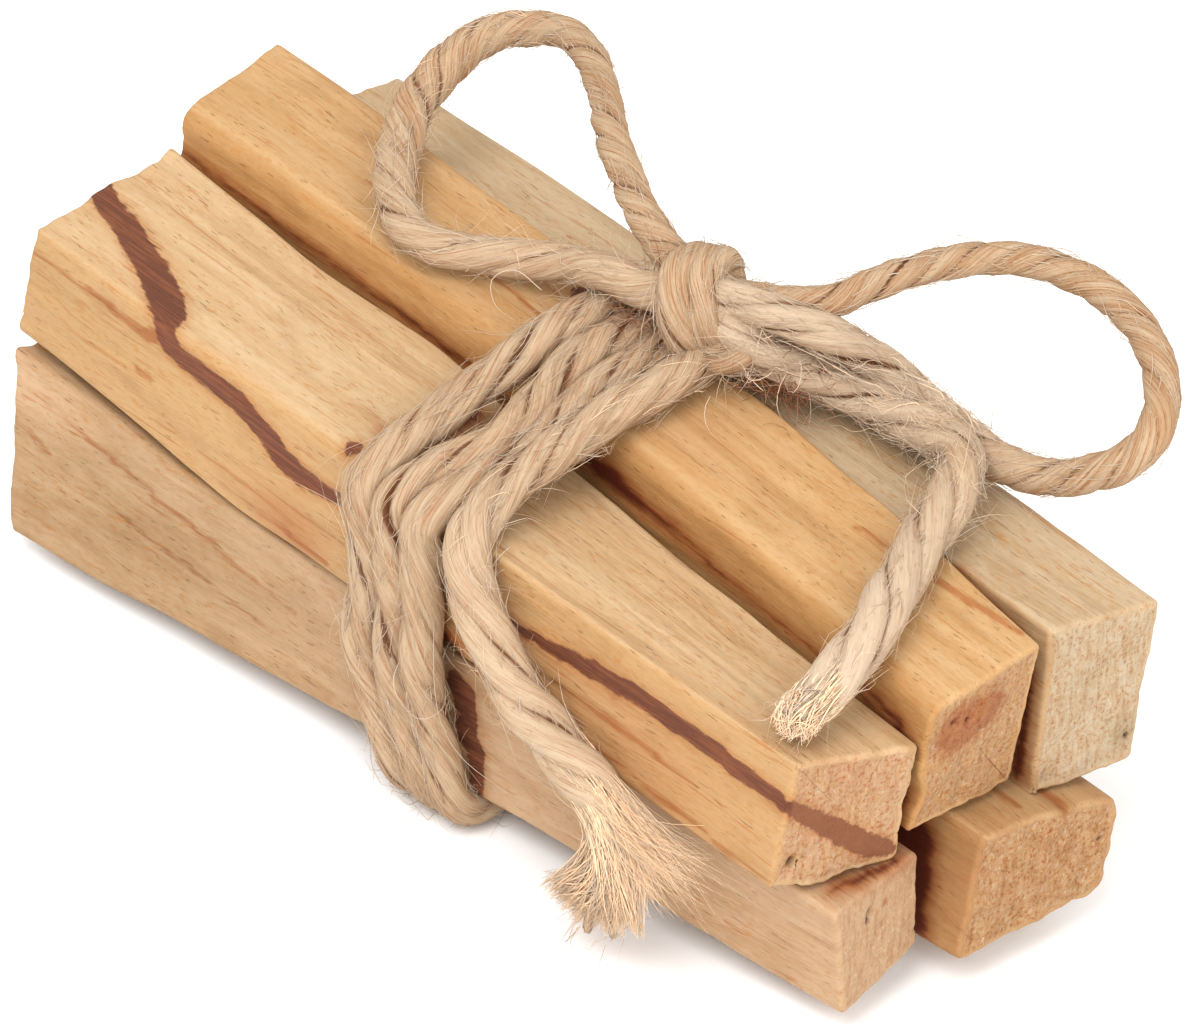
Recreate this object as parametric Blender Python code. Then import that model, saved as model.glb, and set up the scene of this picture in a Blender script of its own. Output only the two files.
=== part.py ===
"""A small bundle of palo santo sticks, tied round the middle with jute twine.

Five split sticks lie along X, three on top and two below. One length of twine goes three
times round them, and is tied on top in a bow with two loops and two loose tails.
+X points to the cut ends of the sticks, +Z is up, and the origin is on the surface that the
bundle lies on, under the middle of the sticks and their binding. The bundle lies on the
underside of the twine, so the sticks are just clear of the surface.
All lengths in the tables are millimetres.
"""
import math

import bmesh
import bpy
import numpy as np
from mathutils import Matrix, Vector

MM = 0.001

# --- driving dimensions -----------------------------------------------------------------
GAP = 0.4               # clear space between pieces that rest on each other
EDGE_EASE = 0.4         # how far the edges of a cut end are eased
RINGS = 11              # sections along a stick
CORNER_STEPS = 3        # faces round each long edge of a stick

TWINE = 3.2             # thickness of the free twine
BOUND_TWINE = 3.0       # thickness where the twine is pulled tight round the sticks
ROUTE_STEP = 4.6        # spacing of points along the free twine
TUBE_SIDES = 8

# Each stick is given by the corners of its two ends, (x, y, z), in the order top left,
# top right, bottom right, bottom left, as seen by someone facing the near ends.
# "bow" is how far its middle stands off the straight line, in y and z. "near_round" and
# "far_round" are the radii of its four long edges at each end.
STICKS = {
    "stick_top_left": {
        "near": ((45.6, -17.4, 28.3), (46.8, -5.5, 25.3), (46.2, -6.8, 14.5), (44.9, -18.9, 16.2)),
        "far": ((-45.7, -18.4, 29.0), (-47.4, -2.6, 29.8), (-49.7, -3.2, 16.5), (-47.8, -18.6, 17.2)),
        "bow": (0.0, -0.2),
        "near_round": (0.6, 0.6, 1.2, 0.6),
        "far_round": (4.5, 1.2, 1.0, 1.0),
    },
    "stick_top_middle": {
        "near": ((47.9, -5.0, 29.5), (47.5, 6.4, 30.1), (45.7, 6.0, 15.6), (46.4, -5.2, 16.5)),
        "far": ((-47.2, -2.1, 33.6), (-49.0, 10.2, 34.3), (-48.8, 9.1, 16.3), (-47.2, -2.6, 16.4)),
        "bow": (1.0, 1.0),
        "near_round": (0.6, 1.0, 0.8, 0.6),
        "far_round": (1.8, 1.2, 1.0, 1.0),
    },
    "stick_top_right": {
        "near": ((47.4, 8.2, 30.4), (48.1, 19.0, 28.9), (48.0, 17.2, 13.8), (47.4, 7.0, 14.8)),
        "far": ((-45.1, 10.8, 29.4), (-44.9, 20.2, 28.9), (-45.3, 19.6, 14.8), (-45.5, 10.4, 15.3)),
        "bow": (0.2, 0.1),
        "near_round": (0.6, 0.8, 0.8, 0.6),
        "far_round": (1.0, 1.6, 1.0, 1.0),
    },
    "stick_bottom_left": {
        "near": ((48.6, -15.1, 14.1), (46.3, -4.0, 13.7), (46.3, -3.6, 4.1), (48.3, -13.1, 3.6)),
        "far": ((-43.7, -22.8, 15.4), (-45.0, -6.6, 15.9), (-44.4, -6.2, 3.6), (-43.0, -23.3, 3.5)),
        "bow": (-0.1, 0.0),
        "near_round": (0.6, 1.0, 1.2, 0.6),
        "far_round": (1.0, 1.0, 1.0, 1.4),
    },
    "stick_bottom_right": {
        "near": ((49.7, -0.4, 15.7), (49.6, 13.6, 13.1), (49.3, 13.6, 3.8), (49.4, -2.0, 3.7)),
        "far": ((-46.0, -4.1, 15.8), (-46.0, 12.0, 14.8), (-46.0, 11.5, 3.6), (-46.0, -4.7, 3.7)),
        "bow": (0.0, 0.1),
        "near_round": (0.9, 2.2, 1.4, 0.9),
        "far_round": (1.0, 1.0, 1.0, 1.0),
    },
}

STICK_COLOURS = {
    "stick_top_left": (0.73, 0.47, 0.23),
    "stick_top_middle": (0.74, 0.43, 0.18),
    "stick_top_right": (0.73, 0.53, 0.32),
    "stick_bottom_left": (0.66, 0.41, 0.22),
    "stick_bottom_right": (0.64, 0.37, 0.17),
}
TWINE_COLOUR = (0.62, 0.41, 0.24)

# The binding. Directions round the bundle are angles in the YZ plane, from +Y towards +Z.
# Each turn starts on top, under the knot, and goes down the left side.
TURN_PLACES = (-3.3, 0.5, 4.1, 7.9)      # x where turns one to three start, and the last ends
TURN_START_ANGLE = 80.0
TURN_ANGLE_STEP = 20.0
# How far a turn runs ahead of its start along x, by direction, and how much wider each later
# turn fans out there: the turns slant forward down the left side and back across the underside.
TURN_LEAD = ((80.0, 0.0, 0.0), (110.0, -0.2, 0.0), (172.0, -0.9, -0.2), (187.0, 0.6, 0.2),
             (200.0, 3.0, 0.9), (235.0, 5.0, 1.5), (262.0, 5.7, 1.7), (280.0, -2.2, 0.5),
             (345.0, -1.6, 0.0), (375.0, -1.0, 0.0), (440.0, 0.0, 0.0))
# Where a turn moves over from its own place to the next one.
TURN_CHANGE = (262.0, 425.0)

KNOT_CENTRE = (6.0, 8.5, 39.9)
KNOT_RADII = (4.7, 4.4, 3.1)
KNOT_HEADING = 35.0                      # degrees from +X to the knot's long way
KNOT_RINGS = 8
KNOT_SEGMENTS = 14

# Free twine, from the knot outwards, as points that its middle line goes through.
BOW_LOOP_LEFT = (
    (0.6, 8.4, 41.4), (-4.4, 9.9, 42.2), (-11.4, 13.4, 43.0), (-17.1, 17.2, 43.4),
    (-21.9, 19.9, 43.4), (-26.1, 20.8, 43.0), (-29.0, 19.4, 42.4), (-31.7, 17.2, 41.4),
    (-32.8, 14.2, 40.0), (-32.6, 10.9, 38.6), (-31.5, 8.2, 37.4), (-29.0, 4.9, 36.4),
    (-25.3, 1.6, 36.0), (-21.2, -0.5, 35.9), (-17.5, -0.8, 35.9), (-14.9, 0.8, 35.9),
    (-11.2, 3.5, 36.1), (-7.0, 5.2, 37.1), (-2.6, 5.1, 38.8), (0.7, 5.6, 39.0),
)
BOW_LOOP_RIGHT = (
    (9.8, 11.4, 41.4), (13.3, 14.3, 41.6), (14.4, 17.4, 41.7), (15.5, 20.6, 42.0),
    (16.9, 25.2, 42.0), (19.4, 29.0, 42.0), (22.9, 31.0, 42.0), (27.0, 31.6, 42.0),
    (31.4, 31.3, 41.6), (35.5, 29.9, 40.8), (38.6, 27.8, 39.6), (40.3, 25.3, 38.0),
    (39.6, 23.2, 36.0), (37.1, 21.3, 34.0), (33.8, 19.8, 32.6), (29.7, 19.1, 31.9),
    (25.2, 19.2, 31.7), (19.7, 19.8, 31.7), (14.3, 19.6, 32.3), (10.6, 17.2, 34.6),
    (9.0, 14.5, 36.7), (8.7, 12.8, 37.9),
)
TAIL_RIGHT = (
    (11.3, 8.9, 37.4), (12.6, 11.4, 35.4), (14.6, 13.6, 33.9), (17.9, 15.3, 33.1),
    (24.2, 15.9, 33.5), (28.6, 15.4, 33.7), (31.9, 11.5, 33.4), (34.6, 5.9, 33.2),
    (37.2, 1.0, 33.0), (39.8, -3.8, 32.5), (41.4, -8.7, 31.2), (42.2, -12.6, 30.3),
    (42.9, -15.6, 30.4),
)
TAIL_LEFT = (
    (7.9, 5.2, 35.6), (8.0, 2.0, 35.1), (7.8, -2.4, 34.7), (7.4, -8.0, 33.4),
    (7.2, -12.8, 32.2), (7.7, -16.4, 31.1), (8.6, -18.9, 29.9), (10.2, -20.6, 27.6),
    (12.6, -21.0, 24.9), (14.8, -21.0, 22.2), (17.8, -21.0, 19.8), (21.4, -21.0, 18.2),
    (25.0, -21.0, 16.8), (28.2, -21.0, 15.0), (30.0, -21.2, 11.6), (29.6, -21.4, 7.6),
    (28.6, -21.6, 3.9),
)
# Thickness along a tail, as (share of its length, times TWINE): the lay opens towards the end.
TAIL_LEFT_SWELL = ((0.0, 1.0), (0.55, 1.1), (0.72, 1.15), (0.84, 1.35), (1.0, 1.7))
TAIL_RIGHT_SWELL = ((0.0, 1.0), (0.45, 1.0), (0.75, 1.1), (1.0, 1.2))


# --- helpers ----------------------------------------------------------------------------
def clear_scene():
    """Empty the scene of whatever is in it."""
    for thing in list(bpy.data.objects):
        bpy.data.objects.remove(thing, do_unlink=True)


def plain_material(name, colour, roughness):
    """A matt material of one colour."""
    material = bpy.data.materials.new(name)
    material.use_nodes = True
    shader = material.node_tree.nodes["Principled BSDF"]
    shader.inputs["Base Color"].default_value = (*colour, 1.0)
    shader.inputs["Roughness"].default_value = roughness
    shader.inputs["Metallic"].default_value = 0.0
    return material


def add_object(name, data, collection, material):
    """Put mesh or curve data in the collection under a name, with its material."""
    thing = bpy.data.objects.new(name, data)
    thing.data.materials.append(material)
    collection.objects.link(thing)
    return thing


# --- sticks -----------------------------------------------------------------------------
def rounded_section(corners, radii):
    """The points of a four-sided section whose corners are rounded, all in metres."""
    points = []
    for i, corner in enumerate(corners):
        back = (corners[i - 1] - corner).normalized()
        ahead = (corners[(i + 1) % 4] - corner).normalized()
        for step in range(CORNER_STEPS + 1):
            angle = 0.5 * math.pi * step / CORNER_STEPS
            shift = back * (1.0 - math.sin(angle)) + ahead * (1.0 - math.cos(angle))
            points.append(corner + shift * radii[i])
    return points


def stick_corners(stick, share):
    """The four corners and their radii at a share of the way from the far to the near end."""
    bulge = 4.0 * share * (1.0 - share)
    bow = Vector((0.0, *stick["bow"])) * bulge
    corners = []
    radii = []
    for i in range(4):
        far = Vector(stick["far"][i])
        near = Vector(stick["near"][i])
        corners.append(far.lerp(near, share) + bow)
        radii.append(stick["far_round"][i] * (1.0 - share) + stick["near_round"][i] * share)
    return corners, radii


def stick_rings(stick):
    """The sections of a stick from its far end to its near end, with eased end edges."""
    length = stick["near"][0][0] - stick["far"][0][0]
    ease = EDGE_EASE / length
    shares = [0.0, ease]
    shares += [ring / (RINGS - 1) for ring in range(1, RINGS - 1)]
    shares += [1.0 - ease, 1.0]
    rings = []
    for share in shares:
        corners, radii = stick_corners(stick, share)
        if share in (0.0, 1.0):
            middle = sum(corners, Vector()) / 4.0
            corners = [corner + (middle - corner).normalized() * EDGE_EASE * 1.4 for corner in corners]
        scaled = [corner * MM for corner in corners]
        rings.append(rounded_section(scaled, [radius * MM for radius in radii]))
    return rings


def stick_mesh(name, stick):
    """Loft a stick between its unlike ends and close both."""
    rings = stick_rings(stick)
    mesh = bpy.data.meshes.new(name)
    body = bmesh.new()
    loops = [[body.verts.new(point) for point in ring] for ring in rings]
    count = len(loops[0])
    for lower, upper in zip(loops, loops[1:]):
        for i in range(count):
            j = (i + 1) % count
            body.faces.new((lower[i], lower[j], upper[j], upper[i]))
    body.faces.new(loops[0])
    body.faces.new(reversed(loops[-1]))
    bmesh.ops.recalc_face_normals(body, faces=body.faces)
    body.to_mesh(mesh)
    body.free()
    mesh.shade_smooth()
    mesh.set_sharp_from_angle(angle=math.radians(40.0))
    return mesh


# --- twine ------------------------------------------------------------------------------
def smooth_route(points, step):
    """Points about a step apart on a smooth curve through the given ones, and their shares."""
    route = np.array(points, dtype=float)
    padded = np.vstack((2.0 * route[0] - route[1], route, 2.0 * route[-1] - route[-2]))
    dense = []
    for i in range(len(route) - 1):
        before, start, end, after = padded[i:i + 4]
        for t in np.linspace(0.0, 1.0, 20, endpoint=False):
            bend = (2.0 * before - 5.0 * start + 4.0 * end - after) * t
            twist = (3.0 * (start - end) + after - before) * t * t
            dense.append(start + 0.5 * t * ((end - before) + bend + twist))
    dense.append(route[-1])
    dense = np.array(dense)
    lengths = np.concatenate(([0.0], np.cumsum(np.linalg.norm(np.diff(dense, axis=0), axis=1))))
    pieces = max(2, round(lengths[-1] / step))
    places = np.linspace(0.0, lengths[-1], pieces + 1)
    spaced = np.column_stack([np.interp(places, lengths, dense[:, axis]) for axis in range(3)])
    return spaced, places / lengths[-1]


def tube(name, points, thickness, collection, material, swell=None, twist="MINIMUM", tilt=0.0):
    """A round tube along the points, closed at both ends."""
    curve = bpy.data.curves.new(name, "CURVE")
    curve.dimensions = "3D"
    curve.twist_mode = twist
    curve.bevel_depth = 0.5 * thickness * MM
    curve.bevel_resolution = (TUBE_SIDES - 4) // 2
    curve.use_fill_caps = True
    spline = curve.splines.new("POLY")
    spline.points.add(len(points) - 1)
    for i, point in enumerate(points):
        spline.points[i].co = (*(np.array(point) * MM), 1.0)
        spline.points[i].radius = 1.0 if swell is None else swell[i]
        spline.points[i].tilt = tilt
    return add_object(name, curve, collection, material)


def free_twine(name, route, collection, material, swell=None):
    """A stretch of free twine through its route's points."""
    points, shares = smooth_route(route, ROUTE_STEP)
    widths = None
    if swell is not None:
        places, factors = zip(*swell)
        widths = np.interp(shares, places, factors)
    return tube(name, points, TWINE, collection, material, widths)


def long_edges_at(x):
    """For every long edge of every stick: its middle (y, z) and radius where it crosses x."""
    edges = []
    for stick in STICKS.values():
        corners = []
        radii = []
        for i in range(4):
            far_x = stick["far"][i][0]
            near_x = stick["near"][i][0]
            share = (x - far_x) / (near_x - far_x)
            places, widths = stick_corners(stick, share)
            corners.append(Vector(places[i][1:]))
            radii.append(widths[i])
        for i in range(4):
            back = (corners[i - 1] - corners[i]).normalized()
            ahead = (corners[(i + 1) % 4] - corners[i]).normalized()
            edges.append((corners[i] + (back + ahead) * radii[i], radii[i]))
    return edges


def turn_point(x, angle):
    """Where tight twine that crosses x touches the bundle in one direction: its middle."""
    out = Vector((math.cos(math.radians(angle)), math.sin(math.radians(angle))))
    middle, radius = max(long_edges_at(x), key=lambda edge: edge[0].dot(out) + edge[1])
    y, z = middle + out * (radius + GAP + 0.5 * BOUND_TWINE)
    lowest = 0.5 * BOUND_TWINE * math.cos(math.pi / TUBE_SIDES)
    if z < lowest + 0.6:
        z = lowest
    return (x, y, z)


def binding_route():
    """The middle line of the three turns round the bundle."""
    directions, leads, fans = zip(*TURN_LEAD)
    points = []
    for turn in range(len(TURN_PLACES) - 1):
        for step in range(round(360.0 / TURN_ANGLE_STEP)):
            angle = TURN_START_ANGLE + TURN_ANGLE_STEP * step
            change = np.interp(angle, TURN_CHANGE, (0.0, 1.0))
            x = TURN_PLACES[turn] * (1.0 - change) + TURN_PLACES[turn + 1] * change
            x += np.interp(angle, directions, leads)
            x += np.interp(angle, directions, fans) * (turn + change)
            points.append(turn_point(float(x), angle % 360.0))
    return points


def knot_mesh(name):
    """The knot, as one rounded lump."""
    mesh = bpy.data.meshes.new(name)
    body = bmesh.new()
    bmesh.ops.create_uvsphere(body, u_segments=KNOT_SEGMENTS, v_segments=KNOT_RINGS, radius=1.0)
    size = Matrix.Diagonal((*(radius * MM for radius in KNOT_RADII), 1.0))
    turn = Matrix.Rotation(math.radians(KNOT_HEADING), 4, "Z")
    bmesh.ops.transform(body, matrix=turn @ size, verts=body.verts)
    body.to_mesh(mesh)
    body.free()
    mesh.shade_smooth()
    return mesh


# --- the bundle -------------------------------------------------------------------------
def build_sticks(collection, bundle):
    for name, stick in STICKS.items():
        material = plain_material(name + "_wood", STICK_COLOURS[name], 0.75)
        piece = add_object(name, stick_mesh(name, stick), collection, material)
        piece.parent = bundle


def build_twine(collection, bundle):
    jute = plain_material("jute", TWINE_COLOUR, 0.95)
    # The binding's tube keeps one side level, so that the bundle lies flat on it.
    wraps = tube("twine_wraps", binding_route(), BOUND_TWINE, collection, jute,
                 twist="Z_UP", tilt=math.pi / TUBE_SIDES)
    knot = add_object("twine_knot", knot_mesh("twine_knot"), collection, jute)
    knot.location = Vector(KNOT_CENTRE) * MM
    pieces = [
        wraps,
        knot,
        free_twine("bow_loop_left", BOW_LOOP_LEFT, collection, jute),
        free_twine("bow_loop_right", BOW_LOOP_RIGHT, collection, jute),
        free_twine("tail_left", TAIL_LEFT, collection, jute, TAIL_LEFT_SWELL),
        free_twine("tail_right", TAIL_RIGHT, collection, jute, TAIL_RIGHT_SWELL),
    ]
    for piece in pieces:
        piece.parent = bundle


def main():
    clear_scene()
    collection = bpy.data.collections.new("palo_santo_bundle")
    bpy.context.scene.collection.children.link(collection)
    bundle = bpy.data.objects.new("bundle", None)
    collection.objects.link(bundle)
    build_sticks(collection, bundle)
    build_twine(collection, bundle)


main()
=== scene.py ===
"""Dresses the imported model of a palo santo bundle: wood, jute twine, stage and camera.

Everything is worked out in millimetres, in the model's own frame, and turned into metres when
a mesh is made. +X runs along the sticks, +Z is up.
"""

import math

import bpy
import numpy as np
from mathutils import Matrix, Vector


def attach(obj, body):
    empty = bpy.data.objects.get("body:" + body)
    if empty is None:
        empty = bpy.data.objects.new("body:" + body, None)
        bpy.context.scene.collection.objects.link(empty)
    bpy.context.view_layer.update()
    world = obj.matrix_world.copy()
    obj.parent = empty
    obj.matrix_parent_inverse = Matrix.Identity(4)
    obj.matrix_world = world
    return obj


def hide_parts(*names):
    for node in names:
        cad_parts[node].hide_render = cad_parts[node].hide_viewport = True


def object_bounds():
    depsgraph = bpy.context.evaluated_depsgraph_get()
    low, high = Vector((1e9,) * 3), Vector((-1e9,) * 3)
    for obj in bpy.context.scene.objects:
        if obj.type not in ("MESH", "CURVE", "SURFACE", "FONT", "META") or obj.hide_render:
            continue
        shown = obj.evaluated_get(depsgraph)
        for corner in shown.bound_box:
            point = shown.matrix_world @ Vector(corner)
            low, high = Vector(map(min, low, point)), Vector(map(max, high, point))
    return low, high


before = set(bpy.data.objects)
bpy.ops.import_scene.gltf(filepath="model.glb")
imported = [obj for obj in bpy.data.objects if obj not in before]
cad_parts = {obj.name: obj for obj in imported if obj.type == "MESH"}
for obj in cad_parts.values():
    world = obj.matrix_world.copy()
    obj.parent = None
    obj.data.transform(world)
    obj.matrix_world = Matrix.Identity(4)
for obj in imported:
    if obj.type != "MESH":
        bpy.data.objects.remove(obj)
CAD_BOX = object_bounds()

bl_info = {
    "name": "Palo Santo Bundle",
    "version": (1, 0, 0),
    "blender": (4, 5, 0),
    "location": "View3D > Sidebar > Bundle",
    "description": "Builds the wood, twine and stage of a tied bundle of palo santo sticks",
    "category": "Add Mesh",
}

MM = 0.001
STUDIO = 1.7             # how bright the studio's light leaves a white thing

# --- the sticks -------------------------------------------------------------------------
# The corners of the two ends, (x, y, z): top left, top right, bottom right, bottom left, as
# seen by someone facing the near ends. "bow" is how far the middle stands off in y and z. The
# rounds are the radii of the long edges at each end, corner by corner, and "rough_ends" is how
# rough the near and the far cut are.
STICKS = {
    "stick_top_left": {
        "near": ((45.6, -17.4, 28.3), (46.8, -5.4, 25.2), (46.2, -6.4, 14.1), (44.9, -18.9, 16.1)),
        "far": ((-46.3, -18.6, 29.2), (-47.4, -2.7, 30.1), (-49.7, -3.2, 16.5), (-48.2, -18.6, 17.9)),
        "bow": (0.0, -0.2),
        "near_round": (0.6, 0.6, 1.2, 0.6),
        "far_round": (2.2, 1.2, 1.0, 1.0),
        "rough_ends": (0.7, 1.3),
    },
    "stick_top_middle": {
        "near": ((47.9, -5.0, 29.2), (47.8, 6.9, 30.4), (46.0, 6.1, 15.6), (46.4, -5.2, 16.3)),
        "far": ((-47.2, -2.1, 33.6), (-49.0, 10.2, 34.3), (-48.8, 9.1, 16.3), (-47.2, -2.6, 16.4)),
        "bow": (1.0, 1.0),
        "near_round": (2.6, 1.0, 0.8, 0.6),
        "far_round": (2.2, 1.2, 1.0, 1.0),
        "rough_ends": (0.6, 0.7),
    },
    "stick_top_right": {
        "near": ((47.4, 8.2, 30.4), (48.1, 19.6, 28.9), (48.0, 17.6, 13.7), (47.4, 7.1, 14.3)),
        "far": ((-45.1, 10.8, 29.4), (-44.9, 20.2, 28.9), (-45.3, 19.6, 14.8), (-45.5, 10.4, 15.3)),
        "bow": (0.2, 0.1),
        "near_round": (0.6, 0.8, 0.8, 0.6),
        "far_round": (1.0, 1.6, 1.0, 1.0),
        "rough_ends": (0.6, 0.7),
    },
    "stick_bottom_left": {
        "near": ((48.6, -15.1, 14.1), (46.3, -4.0, 13.7), (46.3, -3.6, 4.1), (48.3, -13.1, 3.6)),
        "far": ((-47.6, -19.3, 17.0), (-46.4, -6.6, 15.9), (-44.4, -6.2, 3.6), (-43.0, -23.3, 3.5)),
        "bow": (-0.1, 0.0),
        "near_round": (0.6, 1.0, 1.2, 0.6),
        "far_round": (0.8, 1.0, 1.0, 1.4),
        "rough_ends": (0.45, 0.8),
    },
    "stick_bottom_right": {
        "near": ((49.8, -0.4, 15.7), (50.1, 14.9, 12.9), (49.8, 13.6, 3.4), (49.6, -2.2, 3.3)),
        "far": ((-46.0, -4.1, 15.8), (-46.0, 12.0, 14.8), (-46.0, 11.5, 3.6), (-46.0, -4.7, 3.7)),
        "bow": (0.0, 0.1),
        "near_round": (0.9, 3.6, 2.4, 1.6),
        "far_round": (1.0, 1.0, 1.0, 1.0),
        "rough_ends": (0.8, 0.8),
    },
}

# Where a long edge strays from straight: stick, corner, (y, z) of the bulge, its middle, its reach.
WARPS = (
    ("stick_top_left", 1, (0.9, 0.45), -13.0, 11.0),
    ("stick_top_left", 3, (0.1, -1.5), -20.0, 17.0),
    ("stick_bottom_left", 0, (0.0, -1.0), -18.0, 20.0),
    ("stick_bottom_left", 3, (0.0, -1.2), -42.0, 28.0),
    ("stick_bottom_left", 3, (0.0, -0.8), 48.0, 20.0),
)

# Dark red-brown streaks, as routes over the wood: (x, y, z, half width). Those on the top left stick are
# resin; the others are dark marks beside the twine.
STREAKS = {
    "stick_top_left": (
        ((-48.0, -10.8, 29.6, 1.1), (-46.0, -11.3, 29.4, 1.15), (-43.5, -12.1, 29.2, 1.15),
         (-40.7, -12.9, 29.1, 1.15), (-38.0, -13.8, 29.0, 1.25), (-35.5, -14.8, 28.9, 1.4),
         (-33.2, -15.7, 28.8, 1.45), (-31.6, -16.5, 28.7, 1.45), (-30.4, -17.4, 28.3, 1.35),
         (-29.0, -18.0, 27.2, 1.2), (-27.6, -18.0, 26.7, 1.15), (-25.2, -18.0, 26.4, 1.1),
         (-22.0, -18.1, 26.2, 1.15), (-19.3, -18.2, 25.8, 1.2), (-16.8, -18.3, 24.7, 1.3),
         (-14.6, -18.3, 23.7, 1.25), (-12.2, -18.3, 23.2, 1.05), (-9.0, -18.3, 23.6, 0.7),
         (-2.0, -18.3, 24.0, 0.5), (8.0, -18.3, 23.4, 0.3), (13.3, -18.2, 23.5, 0.45),
         (18.7, -18.1, 23.9, 0.8), (23.3, -18.0, 24.4, 0.9), (28.0, -17.9, 24.8, 0.95),
         (32.7, -17.9, 24.7, 0.95), (37.5, -17.9, 24.6, 0.95), (41.0, -17.9, 24.4, 0.85),
         (43.9, -17.9, 24.3, 0.8), (45.3, -17.6, 24.1, 0.7)),
        ((45.3, -17.6, 24.0, 0.65), (45.6, -14.5, 21.3, 0.95), (45.9, -11.3, 18.4, 1.1),
         (46.1, -8.4, 16.1, 1.1), (46.2, -7.0, 15.4, 0.6)),
        ((-7.9, -17.3, 28.3, 0.8), (-7.2, -17.1, 28.4, 0.75)),
    ),
    "stick_top_middle": (
        ((-7.0, 6.6, 34.0, 0.9), (-4.2, 7.2, 34.0, 1.3), (-1.6, 7.6, 34.0, 1.0)),
    ),
    "stick_bottom_left": (
        ((5.8, -18.4, 13.2, 0.9), (6.7, -18.4, 12.1, 1.4), (7.5, -18.2, 9.8, 1.3),
         (8.2, -18.0, 6.9, 1.0), (8.8, -17.6, 3.6, 0.8), (9.1, -17.3, 1.4, 0.5)),
    ),
}

# Fainter brown streaks, written in the same way.
FAINT_STREAKS = {
    "stick_top_left": (
        ((-46.8, -18.6, 26.8, 0.22), (-44.1, -18.5, 27.0, 0.28), (-41.1, -18.5, 26.9, 0.3),
         (-38.7, -18.4, 26.9, 0.32), (-36.3, -18.4, 26.9, 0.38), (-34.4, -18.3, 26.6, 0.5),
         (-32.2, -18.2, 26.6, 0.7), (-30.5, -18.1, 27.0, 0.8)),
        ((22.0, -18.4, 17.8, 0.1), (31.0, -18.4, 17.4, 0.3), (40.0, -18.6, 17.0, 0.3),
         (45.0, -18.8, 16.6, 0.1)),
        ((-9.0, -18.6, 17.0, 0.4), (-16.0, -18.6, 16.9, 0.2), (-24.0, -18.6, 17.3, 0.0)),
        ((-33.5, -18.4, 22.6, 0.35), (-31.5, -18.4, 22.4, 0.35)),
        ((18.0, -18.3, 21.0, 0.3), (28.0, -18.2, 20.8, 0.4), (36.0, -18.2, 20.6, 0.2)),
    ),
    "stick_top_middle": (
        ((28.0, 4.6, 31.2, 0.3), (37.0, 5.3, 30.9, 0.5), (46.0, 6.2, 30.4, 0.4)),
        ((-30.0, 3.0, 34.3, 0.1), (-14.0, 2.6, 34.0, 0.4), (-4.0, 2.2, 33.6, 0.2)),
    ),
    "stick_bottom_left": (
        ((-46.0, -21.0, 11.5, 0.3), (-41.0, -21.0, 10.6, 0.15)),
        ((-44.0, -20.6, 14.6, 0.1), (-34.0, -20.2, 13.0, 0.3), (-22.0, -19.8, 11.2, 0.3),
         (-12.0, -19.2, 9.8, 0.0)),
        ((-36.0, -21.0, 9.6, 0.0), (-24.0, -20.6, 8.0, 0.25), (-14.0, -20.0, 7.0, 0.0)),
    ),
    "stick_bottom_right": (
        ((46.2, 9.0, 14.6, 0.5), (48.4, 8.8, 14.4, 0.6), (50.0, 8.6, 14.0, 0.5)),
        ((41.0, 4.8, 14.8, 0.3), (48.0, 5.2, 14.8, 0.4)),
    ),
}

# Deep red-brown marks with soft edges, in the joints between the sticks and by the turns, in the same way:
# painted shade, with a little dark resin in the joints.
SHADE_AND_RESIN = {
    "stick_top_left": (
        ((-6.5, -13.4, 28.6, 0.9), (-5.8, -9.8, 28.4, 1.1), (-6.0, -6.4, 28.2, 0.9)),
        ((3.8, -18.4, 20.4, 0.5), (4.0, -18.6, 18.4, 0.9), (4.4, -18.7, 16.6, 1.2)),
    ),
    "stick_top_middle": (
        ((-47.0, -2.2, 29.5, -0.1), (-30.0, -2.2, 29.0, 0.0), (-14.0, -2.0, 28.5, 0.0),
         (0.0, -2.4, 27.3, 0.1), (14.0, -3.0, 26.7, -0.1), (30.0, -4.2, 25.9, -0.2),
         (45.0, -5.1, 25.0, -0.1)),
        ((3.0, -2.4, 28.0, 0.4), (7.0, -2.5, 27.8, 0.8), (12.0, -3.0, 27.4, 0.2), (20.0, -3.4, 27.0, -0.4)),
        ((38.0, -4.6, 26.6, -0.2), (44.5, -5.2, 25.6, 0.3), (44.3, -5.3, 20.0, 0.5), (44.0, -5.3, 16.0, 0.5)),
    ),
    "stick_top_right": (
        ((36.0, 8.6, 29.4, 0.0), (44.0, 7.9, 28.2, 0.1), (45.2, 7.5, 24.0, 0.3), (45.2, 7.2, 20.0, 0.4),
         (45.0, 6.9, 16.0, 0.5)),
    ),
    "stick_bottom_left": (
        ((30.0, -6.4, 13.9, 1.0), (41.0, -6.0, 13.8, 0.6)),
        ((46.4, -13.8, 14.2, -0.3), (46.2, -10.5, 14.1, 0.3), (46.3, -6.4, 13.9, 0.1)),
    ),
    "stick_bottom_right": (
        ((38.0, -1.4, 12.0, 2.4), (42.4, -1.4, 11.8, 2.0), (43.6, -1.7, 8.6, 1.5), (44.4, -2.0, 4.8, 1.0)),
        ((38.0, 1.0, 15.4, 0.8), (43.4, 0.6, 15.6, 0.4)),
    ),
}
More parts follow.
